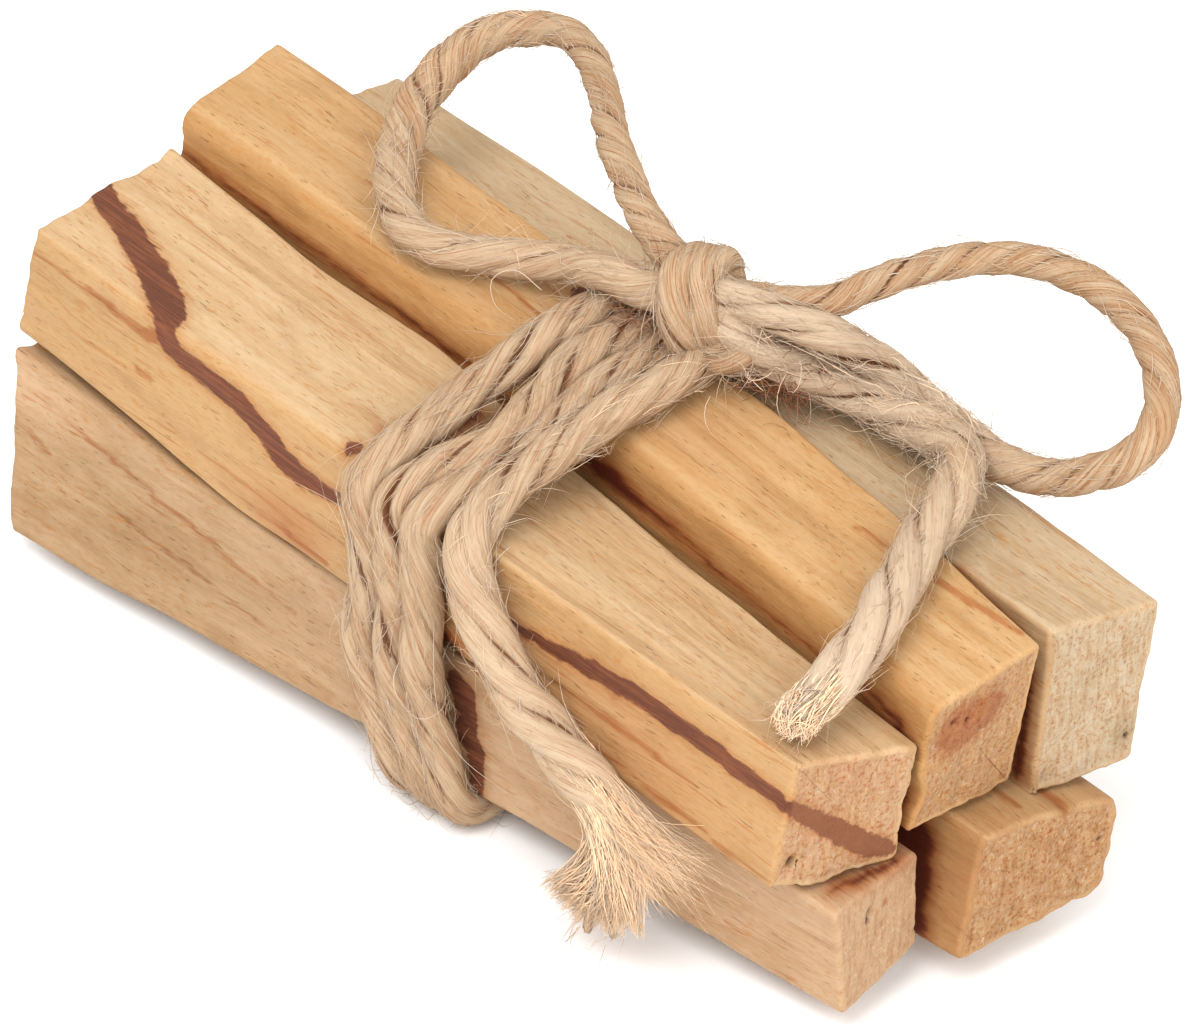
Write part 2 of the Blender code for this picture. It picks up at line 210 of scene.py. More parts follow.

# Soft patches of warmer (+) or greyer (-) wood: (x, y, z, radius, how much). The warm ones on the top of the
# bottom left stick at its near end are painted shade, where the top left stick overhangs it.
PATCHES = {
    "stick_top_left": (
        (46.0, -12.0, 26.0, 4.0, 0.3), (-38.0, -17.0, 28.6, 3.0, 0.3), (-44.0, -15.5, 29.0, 3.4, 0.2),
        (20.0, -18.5, 19.0, 9.0, 0.3), (33.0, -18.5, 19.0, 9.0, 0.25), (-14.0, -18.7, 18.0, 3.0, 0.7),
        (6.0, -18.6, 17.6, 1.4, 0.9), (-43.0, -18.0, 26.0, 6.5, -0.4),
    ),
    "stick_top_middle": (
        (47.6, -1.4, 25.4, 2.2, 2.0), (47.2, 1.6, 25.9, 1.7, 1.5), (47.0, 3.0, 18.0, 3.0, 0.2),
        (13.0, 2.0, 33.0, 6.0, 0.3), (-12.0, -2.0, 33.0, 8.0, 0.2), (-38.0, 5.0, 34.0, 12.0, -0.22),
    ),
    "stick_top_right": (
        (47.8, 16.6, 17.0, 2.2, -0.6), (47.8, 12.0, 24.0, 2.4, -0.3), (47.6, 9.5, 16.0, 3.0, 0.3),
        (-34.0, 15.0, 29.4, 12.0, -0.2), (-8.0, 14.0, 29.4, 12.0, 0.2),
    ),
    "stick_bottom_left": (
        (-46.5, -20.0, 14.6, 2.6, 0.45), (-40.0, -20.0, 14.4, 2.4, 0.3), (-28.0, -19.4, 13.5, 3.0, 0.15),
        # The last patch of this line and the first of the next are painted shade under the top left stick's
        # overhang.
        (47.2, -8.2, 11.2, 0.5, 0.9), (47.3, -8.5, 9.2, 0.4, 0.8), (45.6, -12.0, 14.1, 1.6, 0.6),
        (45.0, -5.0, 13.8, 1.6, 0.8), (8.4, -18.2, 9.0, 2.4, 0.5), (-32.0, -20.4, 8.0, 18.0, -0.75),
    ),
    "stick_bottom_right": (
        (49.5, 8.0, 9.0, 4.0, 0.25), (40.0, -2.0, 10.0, 8.0, 0.4),
    ),
}

# Chips and checks in the wood: (x, y, z, radius, depth). A depth below none is a swelling.
DENTS = {
    "stick_top_left": (
        (45.2, -16.8, 18.1, 0.5, 0.9), (45.6, -13.8, 15.2, 2.4, -0.8), (45.6, -9.4, 14.4, 1.8, -0.3),
        (4.6, -19.0, 16.0, 2.2, 0.9), (-47.5, -7.0, 29.8, 1.2, 0.35), (-47.0, -4.6, 29.9, 1.0, 0.25),
        (12.0, -18.4, 16.2, 2.6, 0.5),
    ),
    "stick_top_middle": (
        (47.8, -2.2, 26.4, 0.35, 0.5), (47.6, -0.6, 25.9, 0.3, 0.4), (47.5, -1.0, 21.6, 0.2, 0.4),
        (-20.0, -3.5, 33.6, 3.0, 0.5), (46.6, -5.2, 20.0, 1.0, 0.4),
    ),
    "stick_top_right": (
        (47.9, 16.9, 16.4, 0.35, 0.5), (47.8, 14.8, 18.6, 0.22, 0.4), (47.7, 8.0, 15.0, 1.0, 0.5),
    ),
    "stick_bottom_left": (
        (47.6, -10.1, 11.3, 0.42, 0.9), (47.6, -10.4, 10.6, 0.36, 0.7), (-2.5, -19.5, 3.6, 1.4, 0.6),
    ),
    "stick_bottom_right": (
        (49.4, 4.0, 3.8, 1.6, 0.3), (49.4, 9.5, 3.6, 1.4, 0.3), (49.6, 12.9, 9.0, 0.3, 0.4),
    ),
}

SIDE_SPACING = 0.36      # of the points round a stick
RING_SPACING = 0.95      # of its sections
ROUTE_STEP = 0.7         # between the points of a streak's or a stain's route
ROUTE_PULL = 1.3         # from how far off the wood those points are drawn onto it
FAR_OFF = -9.0           # what a point that no route reaches starts from
LEAST_REACH = -3.0       # and the least that its material is told
TEAR_DEPTH = 0.12        # of the places where the split tore fibres out
CUT_RINGS = 20           # rings of points across a cut end
CUT_REACH = 2.4          # how far from a cut the sides share its roughness
CUT_EDGE = 0.4           # how far the edge of a cut is eased
# A chip smaller than this gets painted shade in it, as a check or pin hole.
CHECK_RADIUS = 1.0       # a chip smaller than this is a dark check or pin hole

# --- the twine --------------------------------------------------------------------------
TWINE = 3.2              # thickness of the free twine
BOUND = 3.4              # width of the twine that is pulled tight round the sticks
KNOT_RADIUS = 1.6        # of the twine in the knot's passes
FUZZ = 1.3               # how far a loose fibre may stand out past the whole bundle's box
FLOOR_GAP = 0.05         # what twine that lies on the floor keeps clear of it
STRAND_SIDES = 21        # points round a strand
LINE_STEP = 0.5          # between the points of a twine's middle line

# The turns round the sticks go by direction, in degrees: 90 is up and 180 is the left side.
TURN_START = 80.0
TURN_PLACES = (-3.3, 0.5, 4.1, 7.9)      # x where turns one to three start, and the last ends
# How far a turn runs ahead of its start along x, and how much further each later turn does.
TURN_LEAD = ((80.0, 0.0, 0.0), (110.0, -0.2, 0.0), (160.0, -0.6, -0.2), (180.0, 3.5, -0.9),
             (200.0, 5.8, -0.9), (235.0, 6.0, -0.9), (262.0, 5.8, -0.9), (280.0, -2.2, 0.5),
             (345.0, -1.6, 0.0), (375.0, -1.0, 0.0), (440.0, 0.0, 0.0))
TURN_CHANGE = (262.0, 425.0)     # where a turn moves over from its own place to the next
TURN_SWAY = (-0.1, 2.2, 1.3)     # how far each turn bulges to +x where it crosses the top left stick
SWAY_PLACE = (-10.0, 5.5, 24.0)  # the y where it does so most, its reach, and the z that it is above
TURN_BELLY = (3.1, 2.0, 1.2)     # how far each turn bulges to -x half way down the left side
BELLY_PLACE = (13.5, 6.0, -14.0)     # the z where it does so most, its reach, and the y it is short of

BOW_LOOP_LEFT = (
    (0.6, 8.4, 41.4), (-4.4, 9.9, 42.2), (-11.4, 13.4, 43.0), (-17.1, 17.2, 43.4),
    (-21.9, 19.9, 43.4), (-26.1, 20.8, 43.0), (-28.9, 19.4, 42.4), (-31.3, 17.2, 41.4),
    (-32.1, 14.4, 40.0), (-31.8, 11.2, 38.6), (-30.7, 8.5, 37.5), (-28.4, 5.1, 36.5),
    (-25.0, 1.8, 36.1), (-21.2, -0.5, 35.9), (-17.5, -0.8, 35.9), (-14.9, 0.8, 35.9),
    (-11.2, 3.5, 36.1), (-7.0, 5.2, 37.1), (-2.6, 5.1, 38.8), (0.7, 5.6, 39.0),
)
BOW_LOOP_RIGHT = (
    (9.8, 11.4, 40.2), (13.3, 14.3, 40.8), (14.4, 17.4, 41.4), (15.5, 20.6, 42.0),
    (16.9, 25.2, 42.0), (19.4, 29.0, 42.0), (22.9, 31.0, 42.0), (27.0, 31.6, 42.0),
    (31.4, 31.3, 41.6), (35.5, 29.9, 40.8), (38.6, 27.8, 39.6), (40.3, 25.3, 38.0),
    (39.6, 23.2, 36.0), (37.1, 21.3, 34.0), (33.8, 19.8, 32.6), (29.7, 19.1, 31.9),
    (25.2, 19.2, 31.7), (19.7, 19.8, 31.7), (14.3, 19.6, 32.3), (10.6, 17.2, 34.6),
    (9.0, 14.5, 36.7), (8.7, 12.8, 37.9),
)
TAIL_RIGHT = (
    (11.3, 8.9, 37.4), (12.6, 11.4, 35.4), (14.6, 13.6, 33.9), (17.9, 15.3, 33.1),
    (24.2, 15.9, 33.5), (28.6, 15.4, 33.7), (31.9, 11.5, 33.4), (34.6, 5.9, 33.2),
    (37.2, 1.0, 33.0), (39.8, -3.8, 32.5), (41.4, -8.7, 31.2), (42.2, -12.6, 30.3),
    (42.9, -15.6, 30.4),
)
TAIL_LEFT = (
    (7.9, 5.2, 35.6), (8.0, 2.0, 35.1), (7.8, -2.4, 34.7), (7.4, -8.0, 33.4),
    (7.2, -12.8, 32.2), (7.7, -16.4, 31.1), (8.6, -18.9, 29.9), (10.2, -20.6, 27.6),
    (12.6, -21.0, 24.9), (14.8, -21.0, 22.2), (17.8, -21.0, 19.8), (21.4, -21.0, 18.2),
    (25.0, -21.0, 16.8), (28.2, -21.0, 15.0), (30.0, -21.2, 11.6), (29.6, -21.4, 7.6),
    (28.6, -21.6, 3.9),
)

# The passes that make the knot. The one paled by painted light, where it lies in shade, runs on into the
# right loop.
PAINTED_LIGHT_PASS = 2
KNOT_PASSES = (
    ((2.9, 10.7, 39.0), (2.9, 9.8, 41.0), (3.8, 7.6, 41.9), (4.7, 5.7, 41.3), (5.7, 4.8, 40.1),
     (6.6, 4.9, 38.2), (6.7, 6.2, 36.1), (6.1, 8.1, 35.0)),
    ((4.3, 11.8, 38.8), (4.6, 11.2, 40.7), (5.0, 9.6, 42.1), (5.9, 7.7, 41.9), (7.0, 6.6, 40.7),
     (7.7, 6.2, 39.0), (7.5, 7.1, 36.5), (6.5, 8.6, 35.0)),
    ((5.0, 9.0, 39.6), (7.6, 8.4, 40.8), (10.5, 9.2, 40.8), (13.4, 11.2, 40.2), (15.2, 13.6, 38.6),
     (16.5, 16.2, 36.4), (18.2, 18.6, 33.7), (21.5, 19.5, 32.0), (25.2, 19.3, 31.8)),
    ((6.1, 7.4, 35.6), (8.3, 6.7, 36.3), (10.1, 7.3, 36.9), (10.7, 8.8, 37.5), (9.9, 10.7, 37.8),
     (7.9, 12.6, 37.6)),
)


def linear(red, green, blue):
    """A colour given in parts from 0 to 255, as the light that it stands for."""
    steps = [value / 255.0 for value in (red, green, blue)]
    return tuple(((step + 0.055) / 1.055) ** 2.4 for step in steps)


def lit(red, green, blue):
    """The colour of a thing that looks so under the studio's light, which is brighter than plain white."""
    return tuple(value / STUDIO for value in linear(red, green, blue))


# --- what a user would change -----------------------------------------------------------
class WoodSettings(bpy.types.PropertyGroup):
    """Sizes and colours of the split wood."""

    grain_relief: bpy.props.FloatProperty(
        name="Grain relief", description="How far the grain's ridges stand out",
        default=0.00007, min=0.0, max=0.001, precision=5, unit="LENGTH")
    face_waver: bpy.props.FloatProperty(
        name="Face waver", description="How far a split face strays from flat",
        default=0.00022, min=0.0, max=0.002, precision=5, unit="LENGTH")
    pit_depth: bpy.props.FloatProperty(
        name="Pit depth", description="Depth of the pits in a cut end",
        default=0.00022, min=0.0, max=0.002, precision=5, unit="LENGTH")
    resin: bpy.props.FloatVectorProperty(
        name="Resin streak", description="Colour of the dark streaks", subtype="COLOR",
        size=3, min=0.0, max=1.0, default=lit(104, 50, 32))
    fleck: bpy.props.FloatVectorProperty(
        name="Fleck", description="Colour of the short orange marks in the grain", subtype="COLOR",
        size=3, min=0.0, max=1.0, default=lit(212, 146, 80))


class TwineSettings(bpy.types.PropertyGroup):
    """Sizes and colours of the jute twine."""

    free_lay: bpy.props.FloatProperty(
        name="Lay of free twine", description="Length of one full turn of the strands",
        default=0.0092, min=0.003, max=0.05, precision=4, unit="LENGTH")
    bound_lay: bpy.props.FloatProperty(
        name="Lay of tight twine", description="Length of one full turn of the strands where pulled",
        default=0.019, min=0.003, max=0.05, precision=4, unit="LENGTH")
    fibre_relief: bpy.props.FloatProperty(
        name="Fibre relief", description="How far the fibres stand out of a strand",
        default=0.00009, min=0.0, max=0.001, precision=5, unit="LENGTH")
    hair_thickness: bpy.props.FloatProperty(
        name="Hair thickness", description="Thickness of a loose fibre",
        default=0.00007, min=0.00001, max=0.0005, precision=5, unit="LENGTH")
    pale: bpy.props.FloatVectorProperty(
        name="Pale jute", description="Colour of the outer fibres", subtype="COLOR",
        size=3, min=0.0, max=1.0, default=lit(229, 198, 162))
    tan: bpy.props.FloatVectorProperty(
        name="Tan jute", description="Colour of most fibres", subtype="COLOR",
        size=3, min=0.0, max=1.0, default=lit(205, 160, 118))
    # Painted shade: the colour that the twine is darkened to between its strands.
    deep: bpy.props.FloatVectorProperty(
        name="Deep jute", description="Colour between the strands", subtype="COLOR",
        size=3, min=0.0, max=1.0, default=lit(132, 84, 54))


class StageSettings(bpy.types.PropertyGroup):
    """Camera, light and floor."""

    distance: bpy.props.FloatProperty(
        name="Camera distance", description="From the bundle to the camera",
        default=1.2, min=0.2, max=10.0, unit="LENGTH")
    azimuth: bpy.props.FloatProperty(
        name="Azimuth", description="Way round the bundle, from its left side towards the near ends",
        default=math.radians(46.7), unit="ROTATION")
    elevation: bpy.props.FloatProperty(
        name="Elevation", description="Height of the camera, as an angle",
        default=math.radians(36.3), unit="ROTATION")
    roll: bpy.props.FloatProperty(
        name="Roll", description="Lean of the camera", default=math.radians(2.9), unit="ROTATION")
    lens: bpy.props.FloatProperty(
        name="Lens", description="Focal length", default=444.7, min=20.0, unit="CAMERA")
    floor: bpy.props.FloatVectorProperty(
        name="Floor", description="Colour of the floor", subtype="COLOR",
        size=3, min=0.0, max=1.0, default=(0.95, 0.95, 0.95))
    sky: bpy.props.FloatProperty(
        name="Sky", description="Strength of the even light from all round", default=1.04, min=0.0)
    key: bpy.props.FloatProperty(
        name="Key light", description="Power of the large light on the left", default=13.4, min=0.0,
        unit="POWER")
    fill: bpy.props.FloatProperty(
        name="Fill light", description="Power of the large light before the near ends", default=10.4,
        min=0.0, unit="POWER")


# --- numbers ----------------------------------------------------------------------------
def lattice(cell, seed):
    """A repeatable number from -1 to 1 for each point of a whole-number lattice."""
    mixed = cell[..., 0] * 73856093 ^ cell[..., 1] * 19349663 ^ cell[..., 2] * 83492791 ^ seed * 2654435
    mixed = (mixed ^ (mixed >> 13)) * 1274126177 & 0xFFFFFFFF
    mixed = (mixed ^ (mixed >> 15)) * 668265263 & 0xFFFFFFFF
    return ((mixed ^ (mixed >> 16)) & 0xFFFF) / 32767.5 - 1.0


def noise(points, stretch=(1.0, 1.0, 1.0), seed=0):
    """Smooth noise from -1 to 1 at points, whose lumps are as long as the stretch says."""
    scaled = np.asarray(points, float) / np.array(stretch)
    cell = np.floor(scaled).astype(np.int64)
    part = scaled - cell
    ease = part * part * (3.0 - 2.0 * part)
    total = np.zeros(scaled.shape[:-1])
    for corner in range(8):
        bits = np.array((corner & 1, corner >> 1 & 1, corner >> 2 & 1))
        share = np.where(bits == 1, ease, 1.0 - ease).prod(axis=-1)
        total += share * lattice(cell + bits, seed)
    return total


def rise(values, low, high):
    """0 below low, 1 above high, and smooth between."""
    share = np.clip((values - low) / (high - low), 0.0, 1.0)
    return share * share * (3.0 - 2.0 * share)


def unit(vectors):
    """Vectors made one long."""
    return vectors / np.maximum(np.linalg.norm(vectors, axis=-1, keepdims=True), 1e-12)


def line_lengths(line):
    """How far along a line each of its points is."""
    return np.concatenate(([0.0], np.cumsum(np.linalg.norm(np.diff(line, axis=0), axis=1))))


def at_lengths(line, lengths, stops):
    """What a line's columns are at stops along it."""
    return np.column_stack([np.interp(stops, lengths, column) for column in line.T])


def evenly(line, step):
    """The line with points about a step apart."""
    lengths = line_lengths(line)
    return at_lengths(line, lengths, np.linspace(0.0, lengths[-1], max(3, round(lengths[-1] / step) + 1)))


def smooth_line(points, step=LINE_STEP):
    """Points a step apart on a smooth line through the given ones."""
    route = np.array(points, dtype=float)
    padded = np.vstack((2.0 * route[0] - route[1], route, 2.0 * route[-1] - route[-2]))
    dense = []
    for i in range(len(route) - 1):
        before, start, end, after = padded[i:i + 4]
        for t in np.linspace(0.0, 1.0, 24, endpoint=False):
            bend = (2.0 * before - 5.0 * start + 4.0 * end - after) * t
            twist = (3.0 * (start - end) + after - before) * t * t
            dense.append(start + 0.5 * t * ((end - before) + bend + twist))
    dense.append(route[-1])
    return evenly(np.array(dense), step)


def soften(line, reach, step=LINE_STEP):
    """A line with its corners eased over a reach."""
    half = max(1, round(reach / step))
    kernel = np.hanning(2 * half + 3)[1:-1]
    kernel /= kernel.sum()
    padded = np.vstack((np.repeat(line[:1], half, axis=0), line, np.repeat(line[-1:], half, axis=0)))
    return np.column_stack([np.convolve(column, kernel, "valid") for column in padded.T])


def directions_along(line, outward=None):
    """At each point of a line, its own direction and two square to it."""
    ahead = unit(np.gradient(line, axis=0))
    if outward is not None:
        first = unit(outward - ahead * (outward * ahead).sum(axis=1, keepdims=True))
        return ahead, first, np.cross(ahead, first)
    first = np.empty_like(line)
    side = np.array((0.0, 0.0, 1.0)) if abs(ahead[0][2]) < 0.9 else np.array((1.0, 0.0, 0.0))
    for i, way in enumerate(ahead):
        side = unit(side - way * side.dot(way))
        first[i] = side
    return ahead, first, np.cross(ahead, first)


# --- meshes -----------------------------------------------------------------------------
class Surface:
    """Points, faces and facts about each point, gathered bit by bit, in millimetres."""

    def __init__(self):
        self.points = []
        self.faces = []
        self.facts = {}
        self.count = 0

    def add(self, points, faces, **facts):
        """Add points and the faces between them; every call gives the same facts."""
        points = np.asarray(points, float).reshape(-1, 3)
        for group in faces:
            group = np.asarray(group)
            self.faces.extend((group + self.count).tolist())
        for name, values in facts.items():
            self.facts.setdefault(name, []).append(np.asarray(values, float))
        self.points.append(points)
        self.count += len(points)

    def mesh(self, name):
        """All of it as one smooth mesh, in metres."""
        data = bpy.data.meshes.new(name)
        data.from_pydata(np.vstack(self.points) * MM, [], self.faces)
        data.validate()
        for fact, values in self.facts.items():
            values = np.concatenate([value.reshape(value.shape[0], -1) for value in values])
            if values.shape[1] == 3:
                attribute = data.attributes.new(fact, "FLOAT_VECTOR", "POINT")
                attribute.data.foreach_set("vector", values.astype(np.float32).ravel())
            else:
                attribute = data.attributes.new(fact, "FLOAT", "POINT")
                attribute.data.foreach_set("value", values.astype(np.float32).ravel())
        data.shade_smooth()
        return data


def tube_sides(rings, around):
    """The faces between rings of points, each of which joins up with itself."""
    ring = np.arange(rings - 1)[:, None] * around
    point = np.arange(around)[None, :]
    after = (point + 1) % around
    quads = np.stack((ring + point, ring + after, ring + around + after, ring + around + point), axis=-1)
    return quads.reshape(-1, 4)


def tube_faces(rings, around):
    """The faces of a tube of rings of points, with a lid at each end."""
    lids = [np.arange(around)[::-1][None, :], (np.arange(around) + (rings - 1) * around)[None, :]]
    return [tube_sides(rings, around), *lids]


def place(name, surface, material, nodes):
    """Make an object of a surface and put it in place of the CAD nodes."""
    made = bpy.data.objects.new(name, surface.mesh(name))
    made.data.materials.append(material)
    bpy.context.scene.collection.objects.link(made)
    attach(made, "root")
    if nodes:
        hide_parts(*nodes)
    return made


# --- materials --------------------------------------------------------------------------
class Signal:
    """What comes out of a node's socket. Sums with it add the nodes that they need."""

    def __init__(self, maker, socket):
        self.maker = maker
        self.socket = socket

    def _with(self, operation, left, right):
        if self.socket.type in ("VECTOR", "RGBA"):
            return self.maker.vector(operation, left, right)
        return self.maker.number(operation, left, right)

    def __add__(self, other):
        return self._with("ADD", self, other)

    def __sub__(self, other):
        return self._with("SUBTRACT", self, other)

    def __rsub__(self, other):
        return self._with("SUBTRACT", other, self)

    def __mul__(self, other):
        return self._with("MULTIPLY", self, other)

    __radd__ = __add__
    __rmul__ = __mul__

    def rise(self, low, high):
        """0 where this is below low, 1 where above high, and smooth between."""
        return self.maker.node("ShaderNodeMapRange", {"interpolation_type": "SMOOTHSTEP"},
                               {"Value": self, "From Min": low, "From Max": high})


class MaterialMaker:
    """A material whose nodes are added as they are asked for."""

    def __init__(self, name):
        self.material = bpy.data.materials.new(name)
        self.material.use_nodes = True
        self.nodes = self.material.node_tree.nodes
        self.links = self.material.node_tree.links
        self.shader = self.nodes["Principled BSDF"]

    def node(self, kind, settings=None, inputs=None, output=0):
        """Add a node of a kind, set its settings, feed its sockets, and give what comes out."""
        made = self.nodes.new(kind)
        for name, value in (settings or {}).items():
            setattr(made, name, value)
        for name, value in (inputs or {}).items():
            self.feed(made.inputs[name], value)
        return Signal(self, made.outputs[output])

    def feed(self, socket, value):
        """Link a signal into a socket, or set the socket to a value."""
        if isinstance(value, Signal):
            self.links.new(value.socket, socket)
        elif socket.type == "RGBA":
            socket.default_value = (*value, 1.0)
        elif socket.type == "VECTOR" and isinstance(value, (int, float)):
            socket.default_value = (value, value, value)
        else:
            socket.default_value = value

    def number(self, operation, left, right):
        """What an operation on two numbers gives."""
        return self.node("ShaderNodeMath", {"operation": operation}, {0: left, 1: right})

    def vector(self, operation, left, right):
        """What an operation on two vectors or colours gives."""
        return self.node("ShaderNodeVectorMath", {"operation": operation}, {0: left, 1: right})

    def where(self):
        """The place on the object, in millimetres."""
        return self.node("ShaderNodeTexCoord", output="Object") * 1000.0

    def fact(self, name, output="Fac"):
        """A fact that the mesh holds about each of its points."""
        return self.node("ShaderNodeAttribute", {"attribute_name": name}, output=output)

    def noise(self, where, stretch=(1.0, 1.0, 1.0), detail=2.0, roughness=0.5, output="Fac"):
        """Noise from 0 to 1 whose lumps are as long as the stretch says."""
        scaled = where * tuple(1.0 / length for length in stretch)
        return self.node("ShaderNodeTexNoise", None,
                         {"Vector": scaled, "Scale": 1.0, "Detail": detail, "Roughness": roughness}, output)

    def mix(self, first, second, share):
        """Between two colours."""
        return self.node("ShaderNodeMix", {"data_type": "RGBA"}, {0: share, 6: first, 7: second}, 2)

    def tint(self, colour, other, share):
        """A colour multiplied by another, by a share."""
        return self.node("ShaderNodeMix", {"data_type": "RGBA", "blend_type": "MULTIPLY"},
                         {0: share, 6: colour, 7: other}, 2)

    def set(self, **values):
        """Set or feed the shader's sockets; a name's underscores stand for spaces."""
        for name, value in values.items():
            self.feed(self.shader.inputs[name.replace("_", " ")], value)
        return self.material

    def bump(self, height, distance, strength=1.0):
        """The shader's normal, pushed about by a height in units of the distance."""
        bumped = self.node("ShaderNodeBump", None,
                           {"Height": height, "Distance": distance, "Strength": strength})
        self.feed(self.shader.inputs["Normal"], bumped)


# The colours of each stick: pale grain, amber grain, side face, cut end.
WOOD_TONES = {
    "stick_top_left": ((237, 202, 156), (223, 179, 128), (220, 173, 114), (222, 176, 134)),
    "stick_top_middle": ((232, 188, 134), (216, 165, 105), (208, 154, 92), (210, 164, 118)),
    "stick_top_right": ((229, 201, 163), (214, 180, 136), (212, 172, 124), (222, 197, 163)),
    "stick_bottom_left": ((226, 189, 150), (210, 167, 124), (227, 189, 149), (218, 178, 136)),
    "stick_bottom_right": ((218, 176, 126), (198, 148, 96), (200, 148, 94), (216, 170, 120)),
}
# How rough and spotted each stick's cut ends are, from 0 to 1.
END_TEXTURE = {"stick_top_left": 0.8, "stick_top_middle": 0.75, "stick_top_right": 0.7,
               "stick_bottom_left": 0.15, "stick_bottom_right": 1.0}


def wood_material(name, wood):
    """Fine split wood: long grain, flecks, pores, stains, resin streaks, and end grain on the cuts."""
    maker = MaterialMaker(name + "_wood")
    pale, amber, side, cut = (lit(*tone) for tone in WOOD_TONES[name])
    where = maker.where()
    stray = maker.noise(where, (24.0, 8.0, 8.0), 2.0, output="Color") - 0.5
    grain = where + stray * (3.0, 2.2, 2.2)

    bands = maker.noise(grain, (40.0, 2.0, 2.0), 3.0, 0.55)
    clouds = maker.noise(where, (9.0, 3.6, 3.6), 3.0, 0.55)
    streaks = maker.noise(grain, (14.0, 0.6, 0.6), 4.0, 0.6)
    hairs = maker.noise(grain, (5.0, 0.2, 0.2), 3.0, 0.65)
    speckle = maker.noise(grain, (1.0, 0.3, 0.3), 2.0, 0.6)
    colour = maker.mix(pale, amber, bands.rise(0.38, 0.62) * 0.55 + streaks.rise(0.42, 0.66) * 0.3)
    side_colour = maker.mix(side, amber, bands.rise(0.4, 0.64) * 0.35 + streaks.rise(0.4, 0.65) * 0.35)
    colour = maker.mix(colour, side_colour, maker.fact("side") * 0.85)
    colour = maker.tint(colour, linear(232, 224, 214), clouds.rise(0.5, 0.68) * 0.55)
    colour = maker.tint(colour, linear(238, 214, 184), hairs.rise(0.48, 0.7) * 0.26)
    colour = maker.tint(colour, linear(238, 214, 184), speckle.rise(0.46, 0.66) * 0.3)
    lines = maker.noise(grain, (16.0, 0.4, 0.4), 2.0, 0.5).rise(0.62, 0.72)
    colour = maker.tint(colour, linear(222, 168, 110), lines * 0.45)

    beds = maker.noise(where, (11.0, 3.4, 3.4), 2.0).rise(0.42, 0.58)
    flecks = maker.noise(grain, (1.7, 0.42, 0.42), 3.0, 0.6).rise(0.55, 0.66) * beds
    colour = maker.mix(colour, tuple(wood.fleck), flecks * 0.6)
    pores = maker.noise(grain, (1.6, 0.18, 0.18), 1.0, 0.4).rise(0.7, 0.78)
    colour = maker.tint(colour, linear(190, 138, 92), pores * 0.35)

    # The cut ends, where the grain is seen end on.
    coarse = END_TEXTURE[name]
    flat = where * (0.0, 1.0, 1.0)
    pits = maker.noise(where, (0.4, 0.4, 0.4), 4.0, 0.7)
    lumps = maker.noise(where, (2.0, 1.7, 1.7), 3.0, 0.6)
    rays = maker.noise(flat, (1.0, 0.5, 3.4), 3.0, 0.6)
    end_colour = maker.mix(cut, amber, lumps.rise(0.42, 0.62) * (0.2 + 0.6 * coarse))
    end_colour = maker.tint(end_colour, linear(224, 176, 122), pits.rise(0.5, 0.66) * (0.25 + 0.75 * coarse))
    end_colour = maker.tint(end_colour, linear(228, 204, 178), rays.rise(0.46, 0.62) * 0.5)
    end_colour = maker.mix(end_colour, lit(238, 214, 182), (1.0 - pits).rise(0.54, 0.68) * 0.55)
    specks = maker.noise(where, (0.55, 0.3, 0.3), 2.0, 0.5).rise(0.68, 0.76)
    end_colour = maker.tint(end_colour, linear(176, 112, 66), specks * (0.25 + 0.6 * coarse))
    cut_off = maker.fact("cut")
    colour = maker.mix(colour, end_colour, cut_off)

    faint = maker.fact("faint") + (maker.noise(grain, (5.0, 0.3, 0.3), 3.0, 0.6) - 0.5) * 1.1
    colour = maker.tint(colour, linear(212, 156, 104), faint.rise(-0.2, 0.4) * 0.75)
    # Warmer or greyer patches of the wood; the warm ones under the top left stick's overhang are painted
    # shade.
    warm = maker.fact("warm")
    ruffle = maker.noise(grain, (5.0, 0.9, 0.9), 3.0)
    colour = maker.tint(colour, linear(214, 150, 104), (warm * (ruffle + 0.5)).rise(0.0, 1.0) * 0.7)
    colour = maker.tint(colour, linear(196, 190, 164), (warm * (ruffle + 0.5) * -1.0).rise(0.0, 1.0) * 0.7)

    # Painted shade in the joints and by the turns, with a little dark resin: a broad soft red-brown halo,
    # then a dark core.
    stain = maker.fact("stain") + (maker.noise(grain, (2.6, 0.5, 0.5), 4.0, 0.6) - 0.5) * 1.2
    colour = maker.tint(colour, linear(218, 164, 116), stain.rise(-1.8, 0.0) * 0.8)
    colour = maker.tint(colour, linear(146, 84, 54), stain.rise(-0.55, 0.35) * 0.95)

    resin = maker.fact("resin") + (maker.noise(grain, (1.6, 0.4, 0.4), 3.0, 0.6) - 0.5) * 0.8
    colour = maker.tint(colour, linear(230, 188, 140), resin.rise(-1.0, 0.1) * 0.45)
    resin_colour = maker.mix(tuple(wood.resin), lit(146, 80, 50),
                             (hairs * 0.6 + streaks * 0.4).rise(0.42, 0.62))
    resin_colour = maker.mix(resin_colour, lit(158, 96, 60), cut_off * 0.75)
    colour = maker.mix(colour, resin_colour, resin.rise(-0.1, 0.2) * 0.94)
    # Painted shade in the small checks and pin holes.
    colour = maker.tint(colour, linear(96, 62, 40), maker.fact("hollow").rise(0.2, 0.8) * 0.9)

    height = streaks * 0.5 + hairs * 0.4 - pores * 0.6
    rough_cut = (pits * 1.8 + rays * 0.4) * (0.4 + 0.6 * coarse)
    maker.bump(height * (1.0 - cut_off) + rough_cut * cut_off, 0.00016, 0.8)
    return maker.set(Base_Color=colour, Roughness=0.62 + hairs * 0.25, Specular_IOR_Level=0.28)


